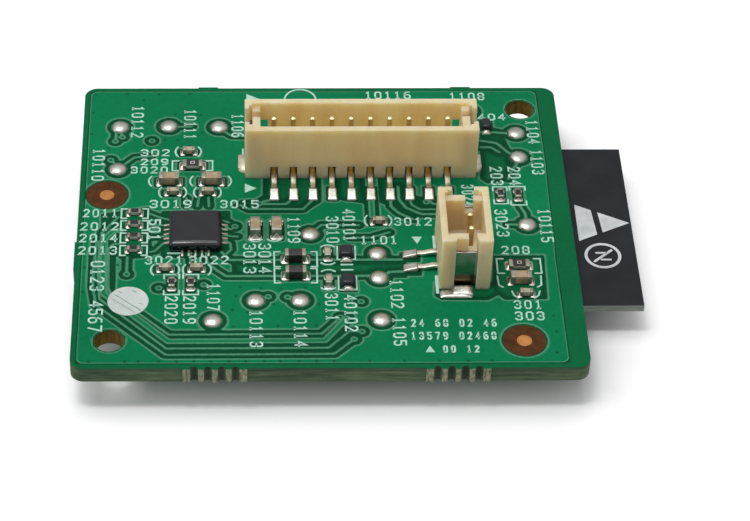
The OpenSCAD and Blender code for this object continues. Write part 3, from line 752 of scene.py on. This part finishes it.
loops = rimLoops("carrier_board", 0.0)
outline, holes = loops[0], loops[1:]
chips = {  # lengths in mm, and x, y and turn of each part
    "resistor": dict(
        foot=0.2, long=1.0, wide=0.5, high=0.38, cap=0.2, body=ceramic, glaze=True,
        slot="resistor_body",
        at=[(-14.6, .75, 0), (-14.6, -.6, 0), (-14.6, -2, 0), (-14.6, -3.4, 0),
            (-11.66, -7.15, 90), (-10.23, -7.15, 90), (13.7, 2.75, 90), (15.05, 2.75, 90)]),
    "largeResistor": dict(
        foot=0.28, long=1.6, wide=0.8, high=0.38, cap=0.32, body=ceramic, glaze=True,
        slot="resistor_body", at=[(-10.2, 6.3, 0), (14.5, -5.2, 0)]),
    "bead": dict(
        foot=0.34, long=1.6, wide=0.8, high=0.8, cap=0.3, body=ferrite, glaze=False,
        slot="ferrite_body", at=[(-2.35, -4.4, 0), (-2.35, -6.22, 0)]),
    "capacitor": dict(
        foot=0.22, long=1.0, wide=0.5, high=0.5, cap=0.26, body=paleCeramic, glaze=False,
        slot="capacitor_body",
        at=[(-10.5, 7.9, 0), (-11.7, 3.1, 0), (-9, 3.1, 0), (-12.15, -5.5, 0), (-9.8, -5.5, 0),
            (.1, -3.95, 90), (.1, -6.95, 90), (4.13, -.3, 0), (14.8, -8.3, 0),
            (11.15, .45, 0), (9.5, .45, 0)]),
    "largeCapacitor": dict(
        foot=0.26, long=1.6, wide=0.8, high=0.8, cap=0.36, body=tanCeramic, glaze=False,
        slot="capacitor_body",
        at=[(-12, 4.4, 0), (-8.7, 4.4, 0), (-5.35, -1.2, 90), (-3.72, -1.15, 90),
            (14.5, -6.85, 0)]),
}
diodes = {
    "long": 1.2, "high": 0.6, "leadT": 0.12,
    "at": [(1.5, -3.85, 90, 1.08), (1.55, -7, 90, 1.08), (13.15, 10.9, 90, 0.8)],
}
# x, y, length, width and turn of the bare laminate round each part
footprints = [(x, y, 2.0, w + 0.35, turn) for x, y, turn, w in diodes["at"]]
for c in chips.values():
    footprints += [(x, y, c["long"] + 0.85, c["wide"] + 0.4, turn) for x, y, turn in c["at"]]
# the controller, and the pads of the long and of the short socket
footprints += [(-9.9, -1.57, 5.3, 5.3, 0)]
footprints += [(2.91 + (i - 4.5) * 1.5, 3.0, 1.0, 1.8, 0) for i in range(10)]
footprints += [(6.32, -4.2, 1.6, 1.1, 0), (6.35, -5.7, 1.6, 1.1, 0)]
openings = [circle(x, y, board["fiducialR"], 56) for x, y in board["fiducials"]]
disc = circle(*board["disc"], 60)

topV, topF, topM, topC = boardFace(board["step"], openings + [disc], topCopper, 0.0, 1)
underV, underF, _, underC = boardFace(board["underStep"], [], underCopper, -board["thick"], -1)
which = np.where(dotGap(topM, board["fiducials"]) < board["fiducialR"], 1, 0)
which[dotGap(topM, [board["disc"][:2]]) < board["disc"][2]] = 2
parts = [(topV, [topF[which == k]], material) for k, material in enumerate((0, 2, 3))]
parts.append((underV, [underF], 1))
low, high = -board["thick"] + board["relief"], -board["relief"]
levels = [high, high - board["lip"], low + board["lip"], low]
for k, ring in enumerate([outline] + holes):
    parts.append(loft([atHeight(ring, z) for z in levels], 4 if k == 0 else 5, False))
bare = [np.full(len(v), -1.0) for v, _, _ in parts[4:]]
x, y = np.concatenate([v for v, _, _ in parts])[:, :2].T
depth = -y - board["edgeY"]
# 1 on the broken webs, down to -1 in the bites between them, which the edge material paints dark
# as painted shade
tornAndShaded = np.where(depth > 0.05, 1.0, np.clip(depth / 0.2, -1, 0))
nearWeb = np.min([np.abs(x - web) for web in board["webs"]], 0) < board["webHalf"]
values = {
    "copper": np.concatenate([topC] * 3 + [underC] + bare),
    "spot": np.concatenate([dotGap(topV[:, :2], vias + dots)] * 3
                           + [dotGap(underV[:, :2], vias + dots)] + [-v for v in bare]),
    "tornAndShaded": np.where(nearWeb & (depth > -0.6), tornAndShaded, 0.0),
}
piece("carrierBoard", parts, [maskGreen, maskUnder, laminate, discInk, boardEdge, holeWall],
      "mask_board", "carrier_board", sharp=40, attributes=values)
print("carrier board made,", len(topF) + len(underF), "triangles on its faces")

x, y, r = board["disc"]
# two diagonal lines, raised a little over the tracks under the disc and darker: painted shade
# along that relief
fineLines = [[(-1.05, 0.75), (0.95, -0.95)], [(-1.25, 0.3), (0.5, -1.2)]]
parts = [ribbon(np.add(line, (x, y)), 0.07, 0.012) for line in fineLines]
for u, v in ((-0.7, 1.0), (0.35, 1.05), (0.85, -0.25)):
    parts.append(ribbon([(x + u, y + v), (x + u + 0.22, y + v - 0.1)], 0.12, 0.012))
piece("discMarks", parts, [discMark], "mask_board", sharp=60)

dot = pillow(1.12, 1.12, 0.035, (6, 0.5), 2, 0, 4, 32)
parts = [place([dot], x, y, 0, -0.03)[0] for x, y in board["fiducials"]]
piece("fiducialDots", parts, [copperDot], "copper")


# White print: digits, outlines and marks.

glyphs = [  # the strokes of 0 to 9 on a grid 4 wide and 6 high
    [[(0, 1), (0, 5), (1, 6), (3, 6), (4, 5), (4, 1), (3, 0), (1, 0), (0, 1)]],
    [[(0.8, 5), (2, 6), (2, 0)], [(0.8, 0), (3.2, 0)]],
    [[(0, 5), (1, 6), (3, 6), (4, 5), (4, 4), (0, 0), (4, 0)]],
    [[(0, 5), (1, 6), (3, 6), (4, 5), (4, 4), (3, 3), (1.5, 3)], [(3, 3), (4, 2), (4, 1), (3, 0),
     (1, 0), (0, 1)]],
    [[(3, 0), (3, 6), (0, 2), (4.2, 2)]],
    [[(4, 6), (0, 6), (0, 3.5), (3, 3.5), (4, 2.5), (4, 1), (3, 0), (1, 0), (0, 1)]],
    [[(3.6, 6), (1.5, 6), (0, 4.4), (0, 1), (1, 0), (3, 0), (4, 1), (4, 2.5), (3, 3.5),
     (0, 3.5)]],
    [[(0, 6), (4, 6), (1.6, 0)]],
    [[(1, 3.1), (0, 4), (0, 5), (1, 6), (3, 6), (4, 5), (4, 4), (3, 3.1), (1, 3.1)], [(1, 3.1),
     (0, 2), (0, 1), (1, 0), (3, 0), (4, 1), (4, 2), (3, 3.1)]],
    [[(0.5, 0), (2.5, 0), (4, 1.6), (4, 5), (3, 6), (1, 6), (0, 5), (0, 3.6), (1, 2.6),
     (4, 2.6)]],
]
inkWork = {"line": 0.15, "outline": 0.14, "top": 0.025, "digitW": 0.74, "space": 0.16}
downLabels = [  # x, y, length, height and digits, read down the board
    (-14.64, 11.63, 3.9, 1.0, "10112"), (-10.44, 11.32, 3.63, 1.0, "10111"),
    (-17.59, 6.44, 3.83, 1.0, "10110"), (-6.66, 11.14, 2.86, 1.0, "1106"),
    (-2.4, -1.17, 2.94, 1.0, "1109"), (0.56, -1.12, 3.05, 1.0, "3010"),
    (1.84, -0.61, 3.62, 1.0, "40101"), (-5.8, -4.31, 3.33, 1.0, "3013"),
    (-4.65, -4.31, 3.32, 1.0, "3014"), (-8.53, -8.52, 2.9, 1.0, "1107"),
    (-5.37, -11.89, 3.86, 1.0, "10113"), (-2.12, -11.86, 3.85, 1.0, "10114"),
    (-11.65, -9.88, 2.99, 1.0, "2020"), (-10.29, -9.87, 2.99, 1.0, "2019"),
    (0.26, -9.59, 2.96, 1.0, "3011"), (1.65, -10.26, 3.89, 1.0, "40102"),
    (5.15, -8.24, 3.09, 1.0, "1102"), (5.16, -12.22, 2.99, 1.0, "1105"),
    (16.84, 10.29, 2.91, 1.0, "1104"), (16.88, 6.64, 2.95, 1.0, "1103"),
    (13.57, 5.02, 2.22, 1.0, "203"), (14.98, 5.01, 2.22, 1.0, "204"),
    (11.2, 2.77, 2.53, 1.0, "3024"), (13.58, -0.42, 3.14, 1.0, "3023"),
    (16.91, -0.75, 3.79, 1.0, "10115"), (-13.04, -1.1, 2.4, 0.95, "501"),
    (-17.23, -8.36, 7.6, 1.1, "0123 4567"),
]
labels = [  # the same, along it
    (-13.15, 7.88, 2.35, 0.85, "302"), (-13.18, 6.78, 2.22, 0.8, "209"),
    (-13.58, 5.82, 2.98, 0.85, "3020"), (-11.85, 1.84, 3.33, 0.95, "3019"),
    (-6.53, 1.81, 3.06, 0.95, "3015"), (-17.22, 0.81, 2.71, 0.95, "2011"),
    (-17.24, -0.7, 3, 0.95, "2012"), (-17.28, -2.01, 2.96, 0.95, "2014"),
    (-17.3, -3.39, 3, 0.95, "2013"), (-12.26, -4.49, 2.94, 0.95, "3021"),
    (-8.87, -4.49, 3.08, 0.95, "3022"), (6.77, -0.24, 2.96, 0.95, "3012"),
    (4.06, -2.31, 2.88, 0.95, "1101"), (14.39, -3.47, 2.22, 0.95, "208"),
    (14.85, -9.4, 2.16, 0.95, "301"), (14.88, -10.6, 2.26, 0.95, "303"),
    (5.51, 14.91, 3.78, 0.95, "10116"), (11.89, 14.74, 2.9, 0.95, "1108"),
    (13.71, 12.16, 2.28, 0.85, "404"), (9.22, -11.31, 6.37, 0.83, "24 68 02 46"),
    (9.13, -12.65, 6.33, 0.82, "13579 02468"), (9.6, -14.02, 2.72, 0.75, "00 12"),
]
parts = []


def stroke(points, width=inkWork["outline"], closed=False):
    parts.append(ribbon(points, width, inkWork["top"], closed))


def written(x, y, length, height, text, down=False):
    # digits along x, or turned to read down the board
    line, pitch = inkWork["line"], (length + inkWork["space"]) / len(text)
    width = min(inkWork["digitW"], pitch - 0.2)
    for k, mark in enumerate(text):
        for path in glyphs[int(mark)] if mark != " " else []:
            s = np.array(path, float) * [(width - line) / 4, (height - line) / 6]
            s += [k * pitch - length / 2 + line / 2, -(height - line) / 2]
            s = np.column_stack([s[:, 1], -s[:, 0]]) if down else s
            stroke(s + [x, y], line)


def bracket(x, y, w, h, arm, upright=False):
    # two facing square brackets round a part
    for side in (-1, 1):
        outer, inner = side * w / 2, side * (w / 2 - arm)
        s = np.array([(inner, h / 2), (outer, h / 2), (outer, -h / 2), (inner, -h / 2)])
        stroke((s[:, ::-1] if upright else s) + [x, y])


def curved(x, y, side, r=0.85, spread=42):
    # one arc of a pair of round brackets
    a = np.radians(np.linspace(-spread, spread, 9))
    stroke(np.stack([x + side * r * (np.cos(a) - 1), y + r * np.sin(a)], -1))


def arched(x, y, side, r=0.75, spread=44):
    # the same above or below a part
    a = np.radians(np.linspace(-spread, spread, 9))
    stroke(np.stack([x + r * np.sin(a), y + side * r * (np.cos(a) - 1)], -1))


for label in downLabels:
    written(*label, True)
for label in labels:
    written(*label)
for y in (.75, -.6, -2.0, -3.4):
    bracket(-14.6, y, 2.05, 1.08, 0.42)
for around in ((-10.21, 6.32, 3.15, 1.16, 0.5), (14.5, -5.22, 3.3, 1.59, 0.5),
               (-2.33, -4.41, 3.24, 1.64, 0.45), (-2.35, -6.21, 3.2, 1.58, 0.45),
               (-11.66, -7.15, 2.19, 1.15, 0.45, True), (-10.23, -7.15, 2.19, 1.15, 0.45, True),
               (13.71, 2.77, 1.95, 1.08, 0.45, True), (15.06, 2.71, 2.14, 1.21, 0.45, True)):
    bracket(*around)
for side in (-1, 1):
    x = 14.42 + side * 1.64
    stroke([(x, -6.3), (x - side * 0.05, -7.3), (x - side * 0.35, -7.52)])
    x = 14.8 + side * 1.04
    stroke([(x, -7.95), (x - side * 0.12, -8.4), (x - side * 0.42, -8.68)])
for x, y, side in ((-11.57, 8, -1), (-9.55, 8, 1), (-13.6, 4.5, -1), (-7.18, 4.5, 1),
                   (-12.8, 3.2, -1), (-10.66, 3.2, 1), (-10.09, 3.2, -1), (-7.97, 3.2, 1),
                   (3.04, -.1, -1), (5.12, -.1, 1), (-13.25, -5.55, -1), (-11.1, -5.55, 1),
                   (-10.85, -5.55, -1), (-8.7, -5.55, 1), (-10.39, 4.5, -1)):
    curved(x, y, side)
for x, y, side in ((.13, -2.85, 1), (.1, -5.02, -1), (.1, -5.57, 1), (.05, -7.76, -1),
                   (-5.35, 0.0, 1), (-3.72, 0.05, 1), (-5.35, -2.42, -1), (-3.9, -2.4, -1)):
    arched(x, y, side)
for y in (-5.02, -5.6):
    stroke([(1.1, y), (1.95, y)], 0.16)
for y in (-3.0, -6.3):
    stroke([(0.85, y), (0.83, y - 1.45), (2.18, y - 1.45), (2.2, y)], 0.13)
for outlineOf in ([(-6.12, 4.18), (-6.12, 3.13), (-5.21, 3.64)],
                  [(6.55, -1.95), (7.35, -1.95), (6.95, -2.75)],
                  [(6.95, -14.35), (7.65, -14.35), (7.3, -13.68)],
                  [(-5.93, 15.08), (-5.93, 13.18), (-4.28, 14.13)]):
    parts.append(patch(outlineOf, inkWork["top"]))
stroke([(-6.25, 7.45), (-6.25, 8.3)], 0.16)
stroke([(-12.0, -3.72), (-11.1, -3.72)], 0.16)
stroke(circle(-1.6, 14.4, 1.25, 44), 0.16, True)
stroke([(-2.3, 14.4), (-0.9, 14.4)], 0.16)
stroke([(8.23, -1.9), (8.23, -3.45)], 0.2)
stroke([(8.2, -6.3), (8.2, -8.1)], 0.26)
piece("boardPrint", parts, [ink], "mask_board", sharp=60)
print("print made,", len(parts), "strokes")

marks = {
    "top": -1.38, "tri": [(19.59, 3.2), (23.66, 1.08), (19.58, -0.95)],
    "ring": (21.24, -2.61, 1.29), "ringW": 0.27, "slash": [(20.55, -3.25), (21.95, -2.0)],
    "slashW": 0.24, "bars": [[(20.75, -2.3), (21.5, -2.3)], [(21.1, -3.05), (21.8, -3.05)]],
    "barW": 0.2,
}
a, b, c = np.array(marks["tri"])
top = marks["top"]
parts = [patch([a, c, c + 0.36 * (b - c), a + 0.3 * (b - a)], top),
         patch([a + 0.42 * (b - a), c + 0.47 * (b - c), b], top),
         ribbon(circle(*marks["ring"], 48), marks["ringW"], top, True),
         ribbon(marks["slash"], marks["slashW"], top)]
parts += [ribbon(bar, marks["barW"], top) for bar in marks["bars"]]
piece("modulePrint", parts, [moduleInk], "black_board", sharp=60)


# Small parts.

def endedChip(c):
    # a ceramic block with a metal cap over each end and a meniscus of solder at each foot
    l, w, h, cap = c["long"], c["wide"], c["high"], c["cap"]
    sunk, r = 0.025, 0.07

    def ring(x, k):
        edge = roundedRing(w - 2 * k, h - 2 * k, 0.05) + [0, h / 2]
        return np.column_stack([np.full(len(edge), x), edge])

    reach = l / 2 - cap * 0.6
    made = [loft([ring(-reach, sunk), ring(reach, sunk)])]
    stations = [(l / 2 - cap, sunk * 1.1), (l / 2 - cap + 0.03, 0.003), (l / 2 - r, 0.0),
                (l / 2 - r * 0.35, r * 0.25), (l / 2, r)]
    foot = pillow(c["foot"] * 2, w + 0.2, h * 0.6, (1.0, 1.7), 4.5, 2, 7, 28)
    for side in (-1, 1):
        made.append(loft([ring(side * x, k) for x, k in stations], 1))
        made += place([foot], side * (l / 2 - 0.02), 0)
    if c["glaze"]:
        glaze = block(l - 2 * cap - 0.02, w - 0.07, 0.03, 0.03, 0.015, 3)
        made += place([glaze], 0, 0, 0, h - sunk - 0.008)
        if l > 1.5:
            mark = [(-.14, -.13), (-.14, .13), (.14, .13), (.14, -.13)]
            made.append(ribbon(mark, 0.07, h + 0.005, True))
    return made


def numbered(kind, start, c):
    for k, (x, y, turn) in enumerate(c["at"]):
        name = f"{kind}_{start + k:02d}"
        piece(name.replace("_", ""), place(endedChip(c), x, y, turn),
              [c["body"], capTin, solder, glassBlack], c["slot"], name, sharp=32)


numbered("resistor", 1, chips["resistor"])
numbered("resistor", 9, chips["largeResistor"])
numbered("bead", 1, chips["bead"])
numbered("capacitor", 1, chips["capacitor"])
numbered("capacitor", 12, chips["largeCapacitor"])

for k, (x, y, turn, w) in enumerate(diodes["at"]):
    # a moulded body drawn in to its top, with a bent lead and its solder at each end
    l, h = diodes["long"], diodes["high"]
    levels = [(0.02, 0.08), (0.06, 0.05), (h * 0.5, 0.0), (h - 0.12, 0.06), (h - 0.06, 0.09),
              (h - 0.015, 0.15), (h, 0.24)]
    made = [loft([atHeight(roundedRing(l - 2 * i, w - 2 * i, 0.2, 5), z) for z, i in levels])]
    path = bent([(0.4, 0.2), (0.58, 0.2), (0.63, 0.07), (0.78, 0.07)], 0.06)
    lead = sweep(path, [w * 0.55] * len(path), [diodes["leadT"]] * len(path), 0.03, 1)
    for side in (-1, 1):
        made += place([lead], 0, 0, -90 * side)
        made += place([pillow(0.55, w * 0.86, 0.24, (2, 0.9), 5, 2)], side * 0.64, 0)
    piece(f"diode{k + 1:02d}", place(made, x, y, turn), [resin, capTin, solder], "black_resin",
          f"diode_{k + 1:02d}", sharp=32)


def moulded(side, h, corner, edge, drop, crown, dimple, count=56):
    # z = h - drop (1 - sqrt(1 - e^2)) - crown (u^2 + v^2) - depth (1 - (d/r)^4), where e
    # grows from 0 to 1 over the edge, u and v run from -1 to 1 across the top, and d is the
    # distance from the dimple; corners are pulled onto arcs
    line = np.sin(np.linspace(-1, 1, count) * math.pi / 2) * side / 2
    x, y = np.meshgrid(line, line, indexing="ij")
    core = side / 2 - corner
    qx, qy = np.maximum(np.abs(x) - core, 0), np.maximum(np.abs(y) - core, 0)
    far = np.hypot(qx, qy)
    inward = np.where(far > 0, corner - far, side / 2 - np.maximum(np.abs(x), np.abs(y)))
    pull = np.where(far > corner, corner / np.maximum(far, 1e-9), 1.0)
    x = np.where(far > corner, np.sign(x) * (np.minimum(np.abs(x), core) + qx * pull), x)
    y = np.where(far > corner, np.sign(y) * (np.minimum(np.abs(y), core) + qy * pull), y)
    e = 1 - np.clip(inward, 0, edge) / edge
    z = h - drop * (1 - np.sqrt(1 - e ** 2)) - crown * ((x / side * 2) ** 2 + (y / side * 2) ** 2)
    d = np.hypot(x - dimple[0], y - dimple[1]) / dimple[2]
    z -= dimple[3] * np.clip(1 - d ** 4, 0, 1)
    top = np.stack([x, y, z], -1)
    rim = np.concatenate([top[0, :-1], top[:-1, -1], top[-1, :0:-1], top[:0:-1, 0]])
    low = atHeight(rim[:, :2], 0.03)
    return [(top.reshape(-1, 3), [gridFaces(count, count, False)], 0),
            loft([low, rim], 0, False), (low, [np.arange(len(low))[None]], 0)]


controller = {"at": (-9.9, -1.57), "side": 4.0, "high": 0.9, "corner": 0.32, "edge": 0.5,
              "drop": 0.3, "crown": 0.05, "dimple": (-1.45, 1.45, 0.25, 0.05),
              "leads": 5, "pitch": 0.5, "leadW": 0.2}
made = moulded(*(controller[key] for key in ("side", "high", "corner", "edge", "drop", "crown",
                                             "dimple")))
for turn in range(0, 360, 90):
    for i in range(controller["leads"]):
        lead = place([block(controller["leadW"], 0.12, 0.14, 0.03, 0.02, 1)], 0, 1.98)
        lead += place([pillow(0.22, 0.6, 0.1, (2.2, 1.1), 4, 1, 5, 20, (0, -0.16))], 0, 2.16)
        made += place(place(lead, (i - 2) * controller["pitch"], 0), 0, 0, turn)
piece("controllerChip", place(made, *controller["at"]), [glossResin, capTin], "black_resin",
      "controller_chip", sharp=28)

dome = pillow(1.44, 1.44, 0.3, (2.2, 0.62), 2, 0, 9, 36)
parts = [place([dome], x, y, 0, -0.01)[0] for x, y in domes]
piece("testDomes", parts, [solder], "solder", "test_domes", sharp=50)
print("small parts made")


# Contacts and solder tabs of the two sockets.

sockets = {"long": {"at": (2.91, 7.15, 0), "ways": 10, "ends": ("left", "right")},
           "short": {"at": (10.67, -4.72, -90), "ways": 2, "ends": ("rear", "front")}}
pitch = 1.5
contact = {"post": 0.38, "top": 4.3, "tailT": 0.3, "tailW": 0.45, "tip": (0.18, 0.32),
           "runZ": 0.35, "footZ": 0.17, "front": 2.35, "reach": 4.2, "bendR": 0.24,
           "padY": -4.35, "padW": 0.78, "padL": 1.2, "padH": 0.46}


def contactParts():
    # post, bend under the floor, run out through the channel, step down and foot on the board
    c = contact
    path = bent([(0, c["top"]), (0, c["top"] - 0.1), (0, c["top"] - 0.16), (0, 0.34),
                 (-c["front"] - 0.35, c["runZ"]), (-c["front"] - 0.95, c["footZ"]),
                 (-c["reach"], c["footZ"])], c["bendR"])
    onPost = path[:, 1] > 0.8
    w, t = np.where(onPost, c["post"], c["tailW"]), np.where(onPost, c["post"], c["tailT"])
    w[:2] = t[:2] = c["tip"]
    pad = pillow(c["padW"], c["padL"], c["padH"], (9, 0.5), 10, 1, 12, 40, (0, 0.03))
    return [sweep(path, w, t, 0.07)] + place([leaned(pad, 0, 0.55, 0.6)], 0, c["padY"])


tab = {"wide": 2.3, "high": 3.4, "thick": 0.2, "end": 2.275, "inset": 0.5, "back": 0.45}


def tabParts(kind, half):
    # an upright plate in the end pocket, its foot turned outwards, and the solder on the foot
    plate = block(tab["thick"], tab["wide"], tab["high"], 0.05, 0.05, 0, 0.02)
    made = place([plate], half - tab["inset"], -tab["back"])
    if kind == "long":
        made += place([block(1.1, 1.62, tab["thick"], 0.1, 0.06, 2)], half - 0.02, -0.5)
        mound = pillow(1.16, 1.7, 0.38, (2.4, 0.62), 2.6, 3, 9, 36)
        return made + place([mound], half - 0.02, -0.85)
    for w, l, h, curve, lean, x, y in ((0.95, 1.7, 0.42, (6, 0.5), -0.55, 0.26, -0.62),
                                       (0.8, 2.4, 0.26, (4, 0.7), -0.5, 0.5, -1.1)):
        mound = leaned(pillow(w, l, h, curve, 8, 1, 8, 40), lean, 0, 0.7)
        made += place([mound], half + x, y)
    return made


for kind, s in sockets.items():
    for i in range(s["ways"]):
        shift = (i - (s["ways"] - 1) / 2) * pitch
        made = place(place(contactParts(), shift, 0), *s["at"])
        piece(f"{kind}Contact{i + 1:02d}", made, [pinTin, solder], "tinned_metal",
              f"{kind}_contact_{i + 1:02d}", sharp=40)
for kind, s in sockets.items():
    for side, end in zip((-1, 1), s["ends"]):
        made = tabParts(kind, pitch * (s["ways"] - 1) / 2 + tab["end"])
        made = [(v * [side, 1, 1], f, m) for v, f, m in made]
        piece(f"{kind}Tab{end.capitalize()}", place(made, *s["at"]),
              [mirrorTin, solder, tin, oldSolder], "tinned_metal", f"{kind}_tab_{end}", sharp=40)
print("contacts and tabs made")


# CAD nodes that keep their shape.

def dressed(node, material, width=0.0):
    # the node's material and, where width is given, its sharp edges rounded by that
    o = nodes[node]
    if o.material_slots:
        for slot in o.material_slots:
            slot.material = material
    else:
        o.data.materials.append(material)
    if width:
        weld = o.modifiers.new("weld", "WELD")
        weld.merge_threshold = 0.000002
        bevel = o.modifiers.new("roundEdges", "BEVEL")
        bevel.width, bevel.segments, bevel.limit_method = width, 2, "ANGLE"
        bevel.angle_limit = math.radians(40)
        bevel.use_clamp_overlap = True
        bevel.harden_normals = True


for node in ("long_housing", "short_housing"):
    dressed(node, cream, 0.00006)
for node in ("radio_chip", "memory_chip"):
    dressed(node, resin, 0.00005)
for node in ("shield_can", "crystal"):
    dressed(node, shieldTin)
dressed("module_board", blackBoard)
dressed("module_joints", solder)
dressed("antenna_trace", antennaMask)
dressed("radio_passives", tanCeramic)
print("housings and module dressed")


# Stage, light and camera.

def seenRays(tree):
    # 1 for rays of the picture itself, of mirrors and of clear things, 0 for light
    path = add(tree, "ShaderNodeLightPath").outputs
    either = maths(tree, "MAXIMUM", path["Is Camera Ray"], path["Is Glossy Ray"])
    return maths(tree, "MAXIMUM", either, path["Is Transmission Ray"]), path["Is Camera Ray"]


stage = {
    "half": 1.2, "shown": "#f6f6f6", "floor": "#c4c4c4", "part": (0.0214, 0.016),
    "glow": 0.14, "glowNear": 0.09, "glowFar": 0.4, "daylight": 0.34, "mirrored": (0.3, 1.0),
}


def floorMaterial(name):
    # a diffuse ground, paler and with a little white added where it is seen or mirrored,
    # none under the part, which is painted shade there, and more towards the horizon
    m, tree, where = newMaterial(name)
    either, _ = seenRays(tree)
    away = add(tree, "ShaderNodeVectorMath", {0: where}, operation="LENGTH").outputs["Value"]
    halves = [maths(tree, "ABSOLUTE", maths(tree, "MULTIPLY", axis(tree, where, k), 1 / size))
              for k, size in enumerate(stage["part"])]
    # painted shade: no white is added over the part's footprint
    outsidePaintedShade = between(tree, maths(tree, "MAXIMUM", *halves), 0.8, 1.0)
    amount = between(tree, away, stage["glowNear"], stage["glowFar"], stage["glow"], 1.0)
    amount = maths(tree, "MULTIPLY", either, maths(tree, "MULTIPLY", outsidePaintedShade, amount))
    shown = blended(tree, linear(stage["floor"]), linear(stage["shown"]), either)
    lit = add(tree, "ShaderNodeBsdfDiffuse", {0: shown})
    own = add(tree, "ShaderNodeEmission", {0: (1, 1, 1, 1), 1: amount})
    both = add(tree, "ShaderNodeAddShader", {0: lit.outputs[0], 1: own.outputs[0]})
    add(tree, "ShaderNodeOutputMaterial", {0: both.outputs[0]})
    return m


mesh = bpy.data.meshes.new("floor")
line = np.linspace(-1, 1, 9) * stage["half"]
ground = np.stack(np.meshgrid(line, line, indexing="ij"), -1).reshape(-1, 2)
mesh.from_pydata(atHeight(ground, 0.0).tolist(), [], gridFaces(9, 9, False)[:, ::-1].tolist())
floor = bpy.data.objects.new("floor", mesh)
bpy.context.scene.collection.objects.link(floor)
mesh.materials.append(floorMaterial("paleFloor"))

world = bpy.data.worlds.new("studio")
bpy.context.scene.world = world
world.use_nodes = True
world.node_tree.nodes.clear()
tree = world.node_tree
either, camera = seenRays(tree)
height = axis(tree, add(tree, "ShaderNodeTexCoord").outputs["Generated"], 2)
mirrored = between(tree, height, 0.1, 0.85, *stage["mirrored"])
mirrored = maths(tree, "MAXIMUM", mirrored, camera)
level = add(tree, "ShaderNodeMix", {0: either, 2: stage["daylight"], 3: mirrored}).outputs[0]
back = add(tree, "ShaderNodeBackground", {0: (1, 1, 1, 1), 1: level})
add(tree, "ShaderNodeOutputWorld", {0: back.outputs[0]})


def setUp(name, data, right, up, back, spot):
    # an object at spot, in mm, that looks along -back
    made = bpy.data.objects.new(name, data)
    bpy.context.scene.collection.objects.link(made)
    m = np.eye(4)
    m[:3, 0], m[:3, 1], m[:3, 2], m[:3, 3] = right, up, back, np.array(spot) / 1000
    made.matrix_world = Matrix(m.tolist())
    return made


lamps = [  # name, place and size in mm, watts; each looks at the middle of the part
    ("overhead", (-95, 35, 400), (330, 280), 0.85),
    ("glint", (-75, -55, 420), (100, 50), 0.36),
    ("leftFill", (-400, -60, 170), (240, 200), 0.3),
    ("frontFill", (80, -420, 330), (260, 200), 0.05),
    ("rearFill", (70, 420, 240), (260, 200), 0.5),
]
for name, spot, size, power in lamps:
    data = bpy.data.lights.new(name, "AREA")
    data.shape, data.energy = "RECTANGLE", power
    data.size, data.size_y = size[0] / 1000, size[1] / 1000
    z = np.array(spot) / np.linalg.norm(spot)
    x = np.cross([0, 1, 0.001], z)
    x /= np.linalg.norm(x)
    lamp = setUp(name, data, x, np.cross(z, x), z, spot)
    lamp.visible_glossy = name != "rearFill"  # it only shines through the thin nylon walls

view = {
    "spot": (-9.5836, -150.8381, 141.9280), "right": (0.99992609, -0.01037326, 0.00634044),
    "up": (0.00248921, 0.68515908, 0.72838921), "ahead": (0.01189998, 0.72831959, -0.68513427),
    "lens": 127.71, "shift": 0.15,
}
data = bpy.data.cameras.new("camera")
data.sensor_width, data.lens, data.shift_x = 36.0, view["lens"], view["shift"]
data.clip_start, data.clip_end = 0.01, 20.0
back = -np.array(view["ahead"])
bpy.context.scene.camera = setUp("camera", data, view["right"], view["up"], back, view["spot"])
bpy.context.scene.view_settings.view_transform = "Standard"

print("stage, lamps and camera made")
